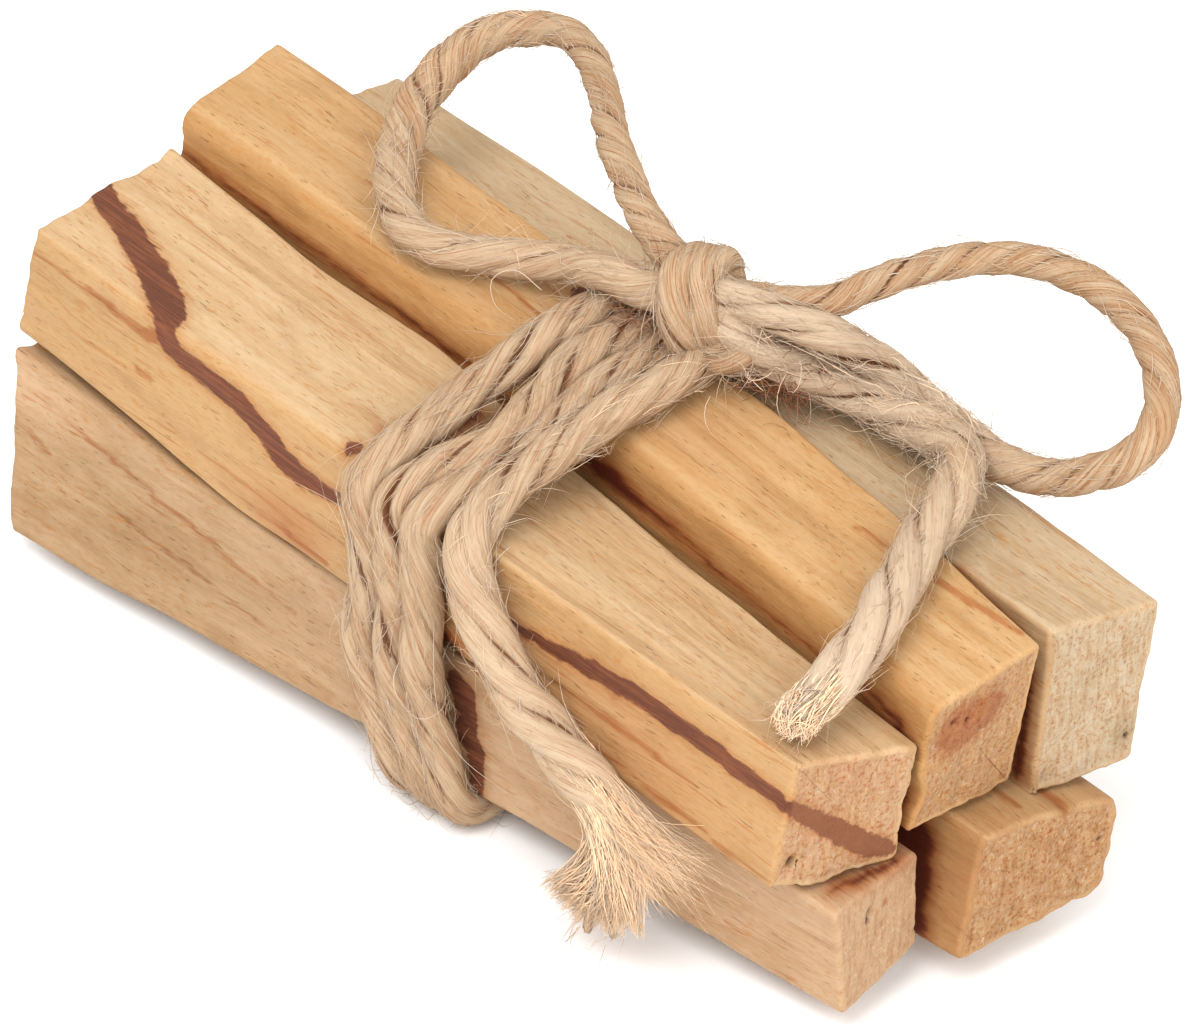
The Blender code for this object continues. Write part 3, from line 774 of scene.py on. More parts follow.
def jute_material(name, twine):
    """Matt jute: long fibres of slightly unlike tans, with painted shade between the strands."""
    maker = MaterialMaker(name)
    fibre = maker.fact("fibre", "Vector")
    fine = maker.noise(fibre, (0.1, 0.1, 3.5), 3.0, 0.65)
    coarse = maker.noise(fibre, (0.26, 0.26, 7.0), 2.0)
    locks = maker.noise(fibre, (0.8, 0.8, 9.0), 2.0)
    depth = maker.fact("depth") + (fine - 0.5) * 0.3 + (locks - 0.5) * 0.9
    colour = maker.mix(tuple(twine.tan), tuple(twine.pale), (fine * 0.5 + coarse * 0.5).rise(0.36, 0.62))
    colour = maker.tint(colour, linear(216, 172, 132), (1.0 - fine).rise(0.52, 0.68) * 0.7)
    colour = maker.tint(colour, linear(232, 206, 180), (1.0 - locks).rise(0.5, 0.7) * 0.5)
    # Paler where bleached says: partly bleached fibres, partly painted light that lifts the twine out of its
    # shade.
    colour = maker.mix(colour, lit(250, 226, 197), maker.fact("bleached") * 0.75)
    # Painted shade between the strands, where depth is low.
    colour = maker.mix(tuple(twine.deep), colour, depth.rise(0.1, 0.55))
    maker.bump(fine + coarse * 0.5, 0.00016, 1.0)
    return maker.set(Base_Color=colour, Roughness=0.88, Specular_IOR_Level=0.15)


def hair_material(name):
    """Loose fibres, each of its own tone: -1 a dark red-brown that is painted shade, 0 tan, 1 pale, 2
    brighter than the fibres are, a painted light that makes up for the shade inside a thick tuft.
    """
    maker = MaterialMaker(name)
    tone = maker.fact("tone")
    colour = maker.mix(lit(226, 186, 146), lit(250, 228, 202), tone.rise(0.0, 1.0))
    # Tones below 0 go to a dark red-brown, painted shade.
    colour = maker.mix(lit(174, 94, 54), colour, (tone + 1.0).rise(0.0, 1.0))
    # Tones above 1 go brighter than any fibre is, painted light.
    colour = maker.mix(colour, linear(248, 214, 176), (tone - 1.0).rise(0.0, 1.0))
    return maker.set(Base_Color=colour, Roughness=0.7, Specular_IOR_Level=0.2)


# --- wood -------------------------------------------------------------------------------
def ring_shares(stick):
    """Where a stick's sections stand, from 0 at the far end to 1 at the near end, and its length."""
    length = stick["near"][0][0] - stick["far"][0][0]
    # Sections crowd towards the cuts, whose edges are eased and rough.
    close = np.array((0.0, 0.05, 0.12, 0.22, 0.35, 0.55, 0.85, 1.3, 1.9))
    middle = np.arange(2.6, length - 2.6, RING_SPACING)
    return np.concatenate((close, middle, length - close[::-1])) / length, length


def corner_ways(corners, i):
    """From one corner of a section, the directions to the corners before and after it."""
    return unit(corners[i - 1] - corners[i]), unit(corners[(i + 1) % 4] - corners[i])


def radii_at(stick, share):
    """The radii of the four long edges at a share of the stick's length."""
    return np.array(stick["far_round"]) * (1.0 - share) + np.array(stick["near_round"]) * share


def stick_outlines(name, stick):
    """The outline of every section of a stick: an array of rings of points."""
    shares, length = ring_shares(stick)
    far = np.array(stick["far"])
    near = np.array(stick["near"])
    bow = np.array((0.0, *stick["bow"]))
    seed = list(STICKS).index(name)
    counts = [max(8, round(np.linalg.norm(far[i] - far[(i + 1) % 4]) / SIDE_SPACING)) for i in range(4)]
    bends = np.linspace(0.0, 0.5 * math.pi, 9)
    rings = []
    for share in shares:
        corners = far + (near - far) * share + bow * (4.0 * share * (1.0 - share))
        for warped, corner, (aside, up), middle, reach in WARPS:
            if warped == name:
                bulge = math.exp(-((corners[corner][0] - middle) / reach) ** 2)
                corners[corner] += np.array((0.0, aside, up)) * bulge
        spots = np.column_stack((np.full(4, share * length / 9.0), np.arange(4) * 7.3, np.zeros(4)))
        radii = radii_at(stick, share) * (0.62 + 0.3 * noise(spots, seed=seed + 40))
        arcs = []
        for i in range(4):
            back, ahead = corner_ways(corners, i)
            arcs.append(corners[i] + radii[i] * (
                back * (1.0 - np.sin(bends))[:, None] + ahead * (1.0 - np.cos(bends))[:, None]))
        ring = []
        for i in range(4):
            span = np.linspace(arcs[i][-1], arcs[(i + 1) % 4][0], counts[i] + 1)[1:-1]
            ring += [arcs[i], span]
        rings.append(np.vstack(ring))
    return np.array(rings), shares, length


def ring_normals(rings):
    """The outward direction at each point of a tube of rings."""
    around = np.roll(rings, -1, axis=1) - np.roll(rings, 1, axis=1)
    along = np.gradient(rings, axis=0)
    normals = unit(np.cross(around, along))
    outward = rings - rings.mean(axis=1, keepdims=True)
    if (normals * outward).sum() < 0.0:
        normals = -normals
    return normals


def wood_relief(points, name, wood):
    """How far the split surface stands out from its plain shape, at points in millimetres."""
    seed = 11 + 7 * list(STICKS).index(name)
    stray = noise(points, (18.0, 6.0, 6.0), seed)[..., None] * np.array((0.0, 1.1, 1.1))
    grain = points + stray
    relief = wood.face_waver / MM * noise(points, (26.0, 5.0, 5.0), seed + 1)
    relief += wood.grain_relief / MM * (
        1.3 * noise(grain, (16.0, 1.1, 1.1), seed + 2) + 0.9 * noise(grain, (7.0, 0.62, 0.62), seed + 3))
    tears = rise(noise(grain, (9.0, 0.9, 0.9), seed + 4), 0.55, 0.75)
    return relief - TEAR_DEPTH * tears


def spot_share(points, middle, radius, stretch, waver=1.0):
    """1 in the middle of a spot and less away from it; the spot is stretched along x."""
    apart = np.linalg.norm((points - np.array(middle)) / np.array((stretch, 1.0, 1.0)), axis=-1)
    return np.exp(-(apart * waver / radius) ** 2)


def dent_depths(points, name):
    """How deep the chips are at each point; a swelling is less than none."""
    depth = np.zeros(points.shape[:-1])
    waver = 1.0 + 0.35 * noise(points, (1.2, 0.7, 0.7), 91)
    for *middle, radius, deep in DENTS.get(name, ()):
        depth += deep * spot_share(points, middle, radius, 1.6, waver)
    return depth


def line_reach(skin, route):
    """How far inside a route with widths each point of a skin is: half width less distance, at most."""
    route = evenly(np.array(route), ROUTE_STEP)
    for stop in route:
        apart = np.linalg.norm(skin - stop[:3], axis=1)
        if apart.min() < ROUTE_PULL:
            stop[:3] = skin[apart.argmin()]
    best = np.full(len(skin), FAR_OFF)
    for start, end in zip(route, route[1:]):
        way = end[:3] - start[:3]
        share = np.clip(((skin - start[:3]) @ way) / max(way.dot(way), 1e-6), 0.0, 1.0)
        apart = np.linalg.norm(skin - (start[:3] + share[:, None] * way), axis=1)
        best = np.maximum(best, start[3] + (end[3] - start[3]) * share - apart)
    return best


def wood_facts(skin, name):
    """What the wood's material needs to know at each point of a stick's skin."""
    facts = {}
    for fact, table in (("resin", STREAKS), ("faint", FAINT_STREAKS), ("stain", SHADE_AND_RESIN)):
        reaches = [line_reach(skin, route) for route in table.get(name, ())]
        facts[fact] = np.max([np.full(len(skin), LEAST_REACH), *reaches], axis=0)
    facts["warm"] = np.zeros(len(skin))
    for *middle, radius, amount in PATCHES.get(name, ()):
        facts["warm"] += amount * spot_share(skin, middle, radius, 1.8)
    facts["hollow"] = np.zeros(len(skin))
    for *middle, radius, _ in DENTS.get(name, ()):
        if radius < CHECK_RADIUS:
            facts["hollow"] = np.maximum(facts["hollow"], spot_share(skin, middle, radius, 4.0))
    return facts


def end_roughness(points, name, near, wood):
    """How far a cut end stands out of its plane, by the place across it; near is 1, far is 0."""
    seed = 300 + 10 * list(STICKS).index(name) + near
    flat = points * np.array((0.0, 1.0, 1.0))
    amount = STICKS[name]["rough_ends"][0 if near else 1]
    rough = 0.20 * noise(flat, (1, 2.8, 2.8), seed) + 0.13 * noise(flat, (1, 1.2, 1.2), seed + 1)
    return amount * (rough + wood.pit_depth / MM * 0.4 * noise(flat, (1, 0.7, 0.7), seed + 2))


def add_cut(surface, outer, name, near, wood):
    """Close one end of a stick's skin with rings of points that shrink towards the middle of the cut."""
    rings, count = outer.shape[:2]
    rim = outer[-1 if near else 0]
    centre = rim.mean(axis=0)
    # Inner rings have their points evenly apart, or they would crowd towards the corners.
    closed = np.vstack((rim, rim[:1]))
    lengths = line_lengths(closed)
    even = at_lengths(closed, lengths, np.linspace(0.0, lengths[-1], count, endpoint=False))
    shrink = np.linspace(1.0, 0.0, CUT_RINGS + 1)[1:-1, None, None]
    blend = np.clip((1.0 - shrink) * 3.0, 0.0, 1.0)
    cap = centre + (rim + (even - rim) * blend - centre) * shrink
    inner = np.clip((1.0 - shrink[..., 0]) * 9.0, 0.0, 1.0)
    sunk = end_roughness(cap, name, near, wood) - end_roughness(rim, name, near, wood).mean()
    outward = 1 if near else -1
    cap[..., 0] += outward * inner * sunk
    cap[..., 0] -= outward * np.maximum(dent_depths(cap, name), 0.0)

    own = len(cap) * count
    rim_start = (rings - 1) * count if near else 0
    index = np.vstack((np.arange(count) + rim_start - surface.count, np.arange(own).reshape(-1, count)))
    ahead = np.roll(index, -1, axis=1)
    quads = np.stack((index[:-1], index[1:], ahead[1:], ahead[:-1]), axis=-1).reshape(-1, 4)
    fan = np.stack((index[-1], np.full(count, own), ahead[-1]), axis=-1)
    if near:
        quads = quads[:, ::-1]
        fan = fan[:, ::-1]
    surface.add(np.vstack((cap.reshape(-1, 3), centre[None])), [quads, fan],
                cut=np.ones(own + 1), side=np.zeros(own + 1))


def stick_surface(name, wood):
    """The whole skin of one stick."""
    rings, shares, length = stick_outlines(name, STICKS[name])
    normals = ring_normals(rings)
    outer = rings + normals * wood_relief(rings, name, wood)[..., None]
    outer -= normals * dent_depths(outer, name)[..., None]
    for near in (0, 1):
        gap = (1.0 - shares if near else shares) * length
        fade = np.clip(1.0 - gap / CUT_REACH, 0.0, 1.0)[:, None] ** 2
        outer[..., 0] += (1 if near else -1) * fade * end_roughness(outer, name, near, wood)
        ease = CUT_EDGE * (1.0 - np.sqrt(1.0 - np.clip(1.0 - gap / CUT_EDGE, 0.0, 1.0) ** 2))
        outer -= normals * ease[:, None, None]

    surface = Surface()
    surface.add(outer, [tube_sides(*outer.shape[:2])], cut=np.zeros(outer.size // 3),
                side=rise(-normals[..., 1], 0.35, 0.85).ravel())
    for near in (0, 1):
        add_cut(surface, outer, name, near, wood)
    for fact, values in wood_facts(np.vstack(surface.points), name).items():
        surface.facts[fact] = [values]
    return surface


# --- twine ------------------------------------------------------------------------------
def long_edges_at(x):
    """For every long edge of every stick: its middle (y, z) and radius where it crosses x."""
    edges = []
    for stick in STICKS.values():
        far = np.array(stick["far"])
        near = np.array(stick["near"])
        share = ((x - far[:, 0]) / (near[:, 0] - far[:, 0]))[:, None]
        corners = (far + (near - far) * share)[:, 1:] + np.array(stick["bow"]) * 4.0 * share * (1.0 - share)
        radii = radii_at(stick, share[:, 0])
        for i in range(4):
            back, ahead = corner_ways(corners, i)
            edges.append((corners[i] + (back + ahead) * radii[i], radii[i]))
    return edges


def binding_line(thickness, gap=0.15, step=4):
    """The middle line of the three turns, and which way is out from the wood along it."""
    directions, leads, fans = zip(*TURN_LEAD)
    # Each row is a point, the way out from the wood there, and the turn that it is in.
    rows = []
    marks = []
    for whole in range(0, 3 * 360 + 1, step):
        turn = min(whole // 360, 2)
        angle = TURN_START + whole - 360.0 * turn
        change = np.interp(angle, TURN_CHANGE, (0.0, 1.0))
        x = TURN_PLACES[turn] * (1.0 - change) + TURN_PLACES[turn + 1] * change
        x += np.interp(angle, directions, leads) + np.interp(angle, directions, fans) * (turn + change)
        out = np.array((math.cos(math.radians(angle)), math.sin(math.radians(angle))))
        middle, radius = max(long_edges_at(x), key=lambda edge: edge[0].dot(out) + edge[1])
        y, z = middle + out * (radius + gap + 0.5 * thickness)
        if whole % 20 == 0:
            marks.append((len(rows), x))
        rows.append((x, y, max(z, 0.5 * thickness), 0.0, out[0], out[1], turn))
    rows = np.array(rows)
    # The twine crosses from one place to the next evenly over each free stretch.
    lengths = line_lengths(rows[:, 1:3])
    indices, places = zip(*marks)
    rows[:, 0] = np.interp(lengths, lengths[list(indices)], places)
    lengths = line_lengths(rows[:, :3])
    rows = at_lengths(rows, lengths, np.linspace(0.0, lengths[-1], round(lengths[-1] / LINE_STEP) + 1))
    turn = np.clip(np.round(rows[:, 6]).astype(int), 0, 2)
    middle, reach, above = SWAY_PLACE
    crossing = np.exp(-((rows[:, 1] - middle) / reach) ** 2) * (rows[:, 2] > above)
    middle, reach, short_of = BELLY_PLACE
    beside = np.exp(-((rows[:, 2] - middle) / reach) ** 2) * (rows[:, 1] < short_of)
    rows[:, 0] += crossing * np.array(TURN_SWAY)[turn] - beside * np.array(TURN_BELLY)[turn]
    rows = soften(rows, 1.3)
    return rows[:, :3], unit(rows[:, 3:6])


def laid_twine(surface, line, radius, lay, relief, outward=None, flat=0.0, opening=0.0, thinning=0.0,
               snug=0.0, bleached=0.0, bare_end=False, seed=0):
    """Add three strands twisted round a line, with their fibres standing out.

    flat presses the twine against what it lies on, opening sets its strands apart, thinning makes
    them thinner, and snug rounds them off together.
    """
    count = len(line)
    radius, lay, opening, thinning, bleached = (np.broadcast_to(np.asarray(value, float), (count,))
                                                for value in (radius, lay, opening, thinning, bleached))
    _, first, second = directions_along(line, outward)
    lengths = line_lengths(line)
    steps = np.diff(lengths, prepend=0.0)
    turned = np.cumsum(-2.0 * math.pi * steps / lay) + seed * 1.7
    around = np.linspace(0.0, 2.0 * math.pi, STRAND_SIDES, endpoint=False)
    for strand in range(3):
        # Along the twine a strand wanders a little in its angle, its reach and its width.
        spot = np.column_stack((lengths, np.full(count, strand * 5.3), np.full(count, seed * 3.1)))
        angle = turned + 2.0 * math.pi * strand / 3.0 + 0.38 * noise(spot, (7.0, 1, 1), 21)
        reach = radius * (0.40 - 0.06 * snug + 0.08 * noise(spot, (5.0, 1, 1), 22) + opening)
        width = radius * (0.6 + 0.15 * snug) * (1.0 + 0.13 * noise(spot, (4.2, 1, 1), 23)) * (1.0 - thinning)
        cosine = np.cos(angle)[:, None]
        sine = np.sin(angle)[:, None]
        centre = line + reach[:, None] * (cosine * (1.0 - flat) * first + sine * (1.0 + flat) * second)
        # Its section is a little flatter than round, and its own fibres turn against its lay.
        turn = around[None, :]
        relative = turn - angle[:, None]
        out = width[:, None] * 0.98 * np.cos(relative)
        aside = width[:, None] * 1.08 * np.sin(relative)
        slide = turn - 0.62 * turned[:, None]
        fibre = np.stack((0.8 * np.cos(slide), 0.8 * np.sin(slide),
                          np.broadcast_to(lengths[:, None] + strand * 31.0 + seed * 97.0,
                                          (count, STRAND_SIDES))), axis=-1)
        lift = relief * (1.2 * noise(fibre, (0.42, 0.42, 9.0), 31) + 0.8 * noise(fibre, (0.2, 0.2, 5.0), 32))
        swell = 1.0 + lift / width[:, None]
        out = out * swell
        aside = aside * swell
        one = (out * cosine - aside * sine) * (1.0 - 0.5 * flat)
        two = (out * sine + aside * cosine) * (1.0 + 0.5 * flat)
        points = centre[:, None, :] + one[..., None] * first[:, None, :] + two[..., None] * second[:, None, :]
        # What stands out past the twine's own width is pressed back by as much as it is snug.
        offset = points - line[:, None, :]
        apart = np.linalg.norm(offset, axis=-1) / (radius[:, None] * 1.04)
        pressed = np.where(apart > 0.85, 0.85 + 0.3 * np.tanh((apart - 0.85) / 0.3), apart)
        points = line[:, None, :] + offset * (1.0 + snug * (pressed / apart - 1.0))[..., None]
        # 0 deep between the strands and 1 on their outsides; where it is low the material paints shade.
        depth = np.clip((apart - 0.62 - 0.18 * snug + 0.35 * flat) / (0.3 - 0.12 * snug), 0.0, 1.0)
        if bare_end:
            depth = np.maximum(depth, rise(lengths, lengths[-1] - 3.5, lengths[-1] - 0.8)[:, None])
        surface.add(points, tube_faces(count, STRAND_SIDES), fibre=fibre.reshape(-1, 3),
                    depth=depth.ravel(), bleached=np.repeat(bleached, STRAND_SIDES))


def fibre_tubes(surface, paths, thickness, tones, sides=3):
    """Add a thin tapering tube along each of the paths, an array of (fibre, point, xyz).

    A fibre that would stray too far past the bundle's box is left out.
    """
    low, high = np.array(CAD_BOX) / MM
    kept = ((paths > low - FUZZ) & (paths < high + FUZZ)).all(axis=(1, 2))
    thickness, tones = (np.broadcast_to(values, len(paths))[kept] for values in (thickness, tones))
    paths = paths[kept]
    fibres, points = paths.shape[:2]
    ahead = unit(np.gradient(paths, axis=1))
    help_way = unit(np.cross(ahead[:, :1], np.array((0.31, 0.52, 0.79))) + 1e-6)
    one = unit(help_way - ahead * (help_way * ahead).sum(axis=-1, keepdims=True))
    two = np.cross(ahead, one)
    share = np.linspace(0.0, 1.0, points)
    taper = np.clip(1.0 - share ** 3, 0.25, 1.0)
    radius = 0.5 * np.asarray(thickness).reshape(-1, 1) * taper[None, :]
    turn = np.linspace(0.0, 2.0 * math.pi, sides, endpoint=False)
    rings = paths[:, :, None, :] + radius[:, :, None, None] * (
        np.cos(turn)[None, None, :, None] * one[:, :, None, :]
        + np.sin(turn)[None, None, :, None] * two[:, :, None, :])
    faces = tube_faces(points, sides)
    offsets = np.arange(fibres) * points * sides
    groups = [(group[None] + offsets[:, None, None]).reshape(-1, group.shape[-1]) for group in faces]
    surface.add(rings, groups, tone=np.repeat(np.asarray(tones, float), points * sides))


def twine_hairs(surface, line, radius, count, seed, outward=None, longest=8.0, lift=0.35, points=7,
                thickness=0.07, tones=(0.0, 1.0)):
    """Add loose fibres that leave the twine's surface and stray from it."""
    random = np.random.default_rng(seed)
    ahead, first, second = directions_along(line, outward)
    lengths = line_lengths(line)
    share = np.linspace(0.0, 1.0, points)[None, :]
    # Where a fibre starts, how long it is, which way it goes, and how it turns, rises and bends.
    start = random.uniform(0.0, lengths[-1], count)[:, None]
    reach = (0.9 + longest * random.beta(1.4, 3.2, count))[:, None]
    sense = random.choice((-1.0, 1.0), count)[:, None]
    angle = random.uniform(0.0, 2.0 * math.pi, count)[:, None]
    swing = random.normal(0.0, 0.5, count)[:, None]
    rising = (lift * random.beta(1.1, 2.6, count) * 1.8)[:, None]
    bend = random.normal(0.0, 0.34, (count, 3))[:, None, :]
    curl = random.normal(0.0, 0.14, (count, 3))[:, None, :]
    wave = random.uniform(3.0, 10.0, count)[:, None]
    along = start + sense * reach * share * np.sqrt(np.clip(1.0 - rising ** 2, 0.1, 1.0))
    inside = np.clip(along, 0.0, lengths[-1])
    beyond = along - inside

    def pick(values):
        return np.stack([np.interp(inside, lengths, values[:, axis]) for axis in range(3)], axis=-1)

    turned = angle + swing * share
    radius = np.broadcast_to(np.asarray(radius, float), (len(line),))
    height = np.interp(inside, lengths, radius) * 0.96 + reach * rising * share ** 1.5
    paths = pick(line) + beyond[..., None] * pick(ahead)
    paths += (height * np.cos(turned))[..., None] * pick(first)
    paths += (height * np.sin(turned))[..., None] * pick(second)
    loose = (reach * share ** 2)[..., None]
    paths += loose * bend * (0.3 + rising[..., None]) + loose * curl * np.sin(wave * share)[..., None]
    paths[..., 2] = np.maximum(paths[..., 2], 0.1)
    widths = thickness * random.uniform(0.6, 1.25, count)
    fibre_tubes(surface, paths, widths, random.uniform(*tones, count))


def coat(surface, line, radius, layers, hair, seed=0, outward=None):
    """Cover a twine with layers of loose fibres; hair is the thickness of a middling one."""
    for density, own_seed, longest, lift, thick in layers:
        twine_hairs(surface, line, radius, round(line_lengths(line)[-1] * density), own_seed + seed,
                    outward, longest=longest, lift=lift, thickness=hair * thick)


def tangle(surface, middle, spread, count, seed, thickness, tones, points=7):
    """Add a loose ball of curled fibres."""
    random = np.random.default_rng(seed)
    share = np.linspace(0.0, 1.0, points)[None, :, None]
    begin = np.array(middle) + random.normal(0.0, 0.6, (count, 3)) * np.array(spread)
    way = unit(random.normal(0.0, 1.0, (count, 3)))[:, None]
    other = unit(random.normal(0.0, 1.0, (count, 3)))[:, None]
    reach = random.uniform(2.0, 5.5, count)[:, None, None]
    turn = random.uniform(1.0, 4.0, count)[:, None, None]
    paths = begin[:, None] + reach * (
        np.sin(share * turn) / turn * way + (1.0 - np.cos(share * turn)) / turn * other)
    fibre_tubes(surface, paths, thickness * random.uniform(0.6, 1.2, count), random.uniform(*tones, count))


def brush_end(surface, line, radius, locks, seed, back=6.0, points=7):
    """Add an opened end: fibres that leave the twine's last stretch and gather into pointed locks."""
    random = np.random.default_rng(seed)
    ahead, across, other = directions_along(line)
    lengths = line_lengths(line)
    for x, y, z, count, thickness, spread, place_back in locks:
        tip = np.array((x, y, z))
        share = np.linspace(0.0, 1.0, points)[None, :, None]
        starts = lengths[-1] - place_back + random.uniform(-back, 0.0, count)
        index = np.clip(np.searchsorted(lengths, starts), 0, len(line) - 2)
        spot = np.sqrt(random.uniform(0.3, 1.4, count)) * radius * 0.9
        turn = random.uniform(0.0, 2.0 * math.pi, count)
        begin = line[index] + (spot * np.cos(turn))[:, None] * across[index] + (
            (spot * np.sin(turn))[:, None] * other[index])
        way = ahead[index]
        reach = np.linalg.norm(tip - begin, axis=1, keepdims=True)
        leave = begin + way * reach * 0.4
        ends = tip + random.normal(0.0, spread, (count, 3)) + way * random.uniform(-2.2, 0.5, (count, 1))
        bulge = ends + (leave - ends) * 0.45 + random.normal(0.0, 0.35, (count, 3))
        paths = ((1 - share) ** 3 * begin[:, None] + 3 * (1 - share) ** 2 * share * leave[:, None]
                 + 3 * (1 - share) * share ** 2 * bulge[:, None] + share ** 3 * ends[:, None])
        swings = random.uniform(5.0, 11.0, count)[:, None, None]
        paths += random.normal(0.0, 0.10, (count, 3))[:, None] * np.sin(share * swings) * share
        paths[..., 2] = np.maximum(paths[..., 2], 0.1)
        # The locks' fibres are brighter than the fibres are, a painted light that makes up for the shade
        # among them.
        fibre_tubes(surface, paths, thickness * random.uniform(0.6, 1.3, count),
                    random.uniform(1.0, 2.5, count))


# The layers of loose fibres on the free twine, the tight turns and the knot's passes: how many
# to a millimetre, the seed, the longest, how far they lift, and how thick they are.
FREE_HAIRS = ((7.0, 50, 9.0, 0.05, 1.2), (1.6, 55, 5.0, 0.25, 0.8), (0.7, 60, 7.0, 0.7, 0.65))
TIGHT_HAIRS = ((3.6, 101, 10.0, 0.06, 1.2), (4.4, 103, 7.0, 0.28, 0.8), (2.2, 102, 9.0, 0.6, 0.7))
KNOT_HAIRS = ((8.0, 120, 7.0, 0.08, 1.2), (8.0, 130, 7.0, 0.5, 0.7))

# For each stretch of free twine: its route, what it ends at, and by share of its length how thick it is, how
# long its lay is, how far its strands stand apart, how thin they have got and how much it is paled: partly
# the paler fibres of a bleached end, partly painted light where the band beside the knot lies in shade. Frizz
# is (from, to, hairs), and snug says how closely its strands lie together.
FREE_TWINE = {
    "bow_loop_left": {
        "route": BOW_LOOP_LEFT, "far_end": "knot",
        "swell": ((0.0, 0.95), (0.12, 0.9), (0.25, 0.84), (0.38, 0.85), (0.48, 1.06), (0.56, 1.16),
                  (0.66, 1.0), (0.75, 0.94), (1.0, 0.96)),
        "lay": ((0.0, 1.0), (0.5, 1.05), (0.62, 1.3), (0.75, 2.2), (1.0, 2.4)),
        "opening": ((0.0, 0.0), (0.6, 0.0), (0.8, 0.06), (1.0, 0.02)), "thinning": ((0.0, 0.0),),
        "bleached": ((0.0, 0.0), (0.5, 0.0), (0.7, 0.25), (1.0, 0.25)),
        "frizz": ((0.38, 0.64, 240), (0.6, 1.0, 200)), "snug": 0.9,
    },
    "bow_loop_right": {
        "route": BOW_LOOP_RIGHT, "far_end": "knot",
        "swell": ((0.0, 0.82), (0.3, 0.84), (0.45, 0.9), (0.6, 0.95), (0.75, 1.04), (0.9, 1.08), (1.0, 0.96)),
        "lay": ((0.0, 1.0), (0.5, 1.15), (0.65, 1.3), (0.8, 2.0), (1.0, 2.3)),
        "opening": ((0.0, 0.0), (0.6, 0.0), (0.8, 0.06), (1.0, 0.02)), "thinning": ((0.0, 0.0),),
        "bleached": ((0.0, 0.0), (0.6, 0.0), (0.8, 0.7), (1.0, 0.7)),
        "frizz": ((0.6, 1.0, 360),), "snug": 0.9,
    },
    "tail_left": {
        "route": TAIL_LEFT, "far_end": "bare",
        "swell": ((0.0, 1.05), (0.3, 1.1), (0.55, 1.25), (0.78, 1.35), (0.86, 1.2), (1.0, 1.3)),
        "lay": ((0.0, 1.8), (0.4, 2.1), (1.0, 2.5)),
        "opening": ((0.0, 0.03), (0.4, 0.07), (0.76, 0.08), (1.0, 0.2)),
        "thinning": ((0.0, 0.0), (0.78, 0.0), (0.9, 0.42), (1.0, 0.7)),
        "bleached": ((0.0, 0.1), (0.5, 0.3), (1.0, 0.5)),
        "frizz": ((0.0, 0.3, 140), (0.3, 0.7, 180)), "snug": 0.2,
    },
    "tail_right": {
        "route": TAIL_RIGHT, "far_end": "bare",
        "swell": ((0.0, 1.0), (0.35, 1.1), (0.6, 1.25), (0.85, 1.3), (1.0, 1.2)),
        "lay": ((0.0, 1.8), (0.5, 2.4), (1.0, 2.8)),
        "opening": ((0.0, 0.03), (0.5, 0.07), (1.0, 0.06)),
        "thinning": ((0.0, 0.0), (0.9, 0.0), (0.96, 0.25), (1.0, 0.6)),
        "bleached": ((0.0, 0.7), (0.3, 0.8), (0.45, 0.3), (0.7, 0.6), (1.0, 1.0)),
        "frizz": ((0.05, 0.4, 360), (0.3, 0.62, 420), (0.8, 1.0, 30)), "snug": 0.2,
    },
}
# How much further a loose end goes into the knot than its CAD solid does, at each end.
INTO_KNOT = {
    "bow_loop_left": (((5.0, 8.2, 40.4), (3.0, 8.2, 41.0)), ((3.0, 6.4, 39.4), (5.0, 7.4, 39.6))),
    "bow_loop_right": (((6.0, 9.2, 39.9), (8.0, 10.2, 40.1)), ((8.0, 11.0, 38.6), (7.2, 9.4, 39.0))),
    "tail_left": (((7.2, 8.0, 37.0),), ()),
    "tail_right": (((7.6, 7.6, 39.4), (9.6, 7.8, 38.8)), ()),
}
# The locks of each opened end: (x, y, z, fibres, their thickness, spread, how far back they leave).
LOCKS = {
    "tail_left": (
        (25.0, -22.8, 4.8, 230, 0.12, 0.28, 9.5), (26.8, -22.8, 4.4, 210, 0.12, 0.25, 8.5),
        (28.6, -22.6, 4.8, 220, 0.12, 0.25, 8.5), (30.2, -22.4, 5.0, 200, 0.12, 0.25, 8.5),
        (31.7, -22.4, 5.8, 180, 0.12, 0.25, 8.5), (33.6, -22.2, 6.6, 220, 0.12, 0.25, 9.0),
        (31.5, -22.2, 8.6, 120, 0.11, 0.8, 9.0), (34.4, -21.8, 9.6, 120, 0.08, 0.9, 11.0),
        (37.0, -21.2, 12.6, 130, 0.06, 1.2, 13.0), (39.6, -20.6, 14.0, 110, 0.055, 1.4, 13.5),
    ),
    "tail_right": (
        (42.3, -16.3, 30.0, 190, 0.16, 0.18, 1.4), (43.1, -16.6, 29.7, 200, 0.16, 0.16, 1.2),
        (43.9, -16.3, 29.6, 200, 0.16, 0.16, 1.2), (44.6, -15.4, 29.7, 140, 0.15, 0.2, 1.4),
        (43.3, -15.8, 30.5, 170, 0.16, 0.25, 0.8),
    ),
}


def free_line(node):
    """The middle line of a stretch of free twine, from inside the knot to its end."""
    before, after = INTO_KNOT[node]
    return smooth_line((*before, *FREE_TWINE[node]["route"], *after))


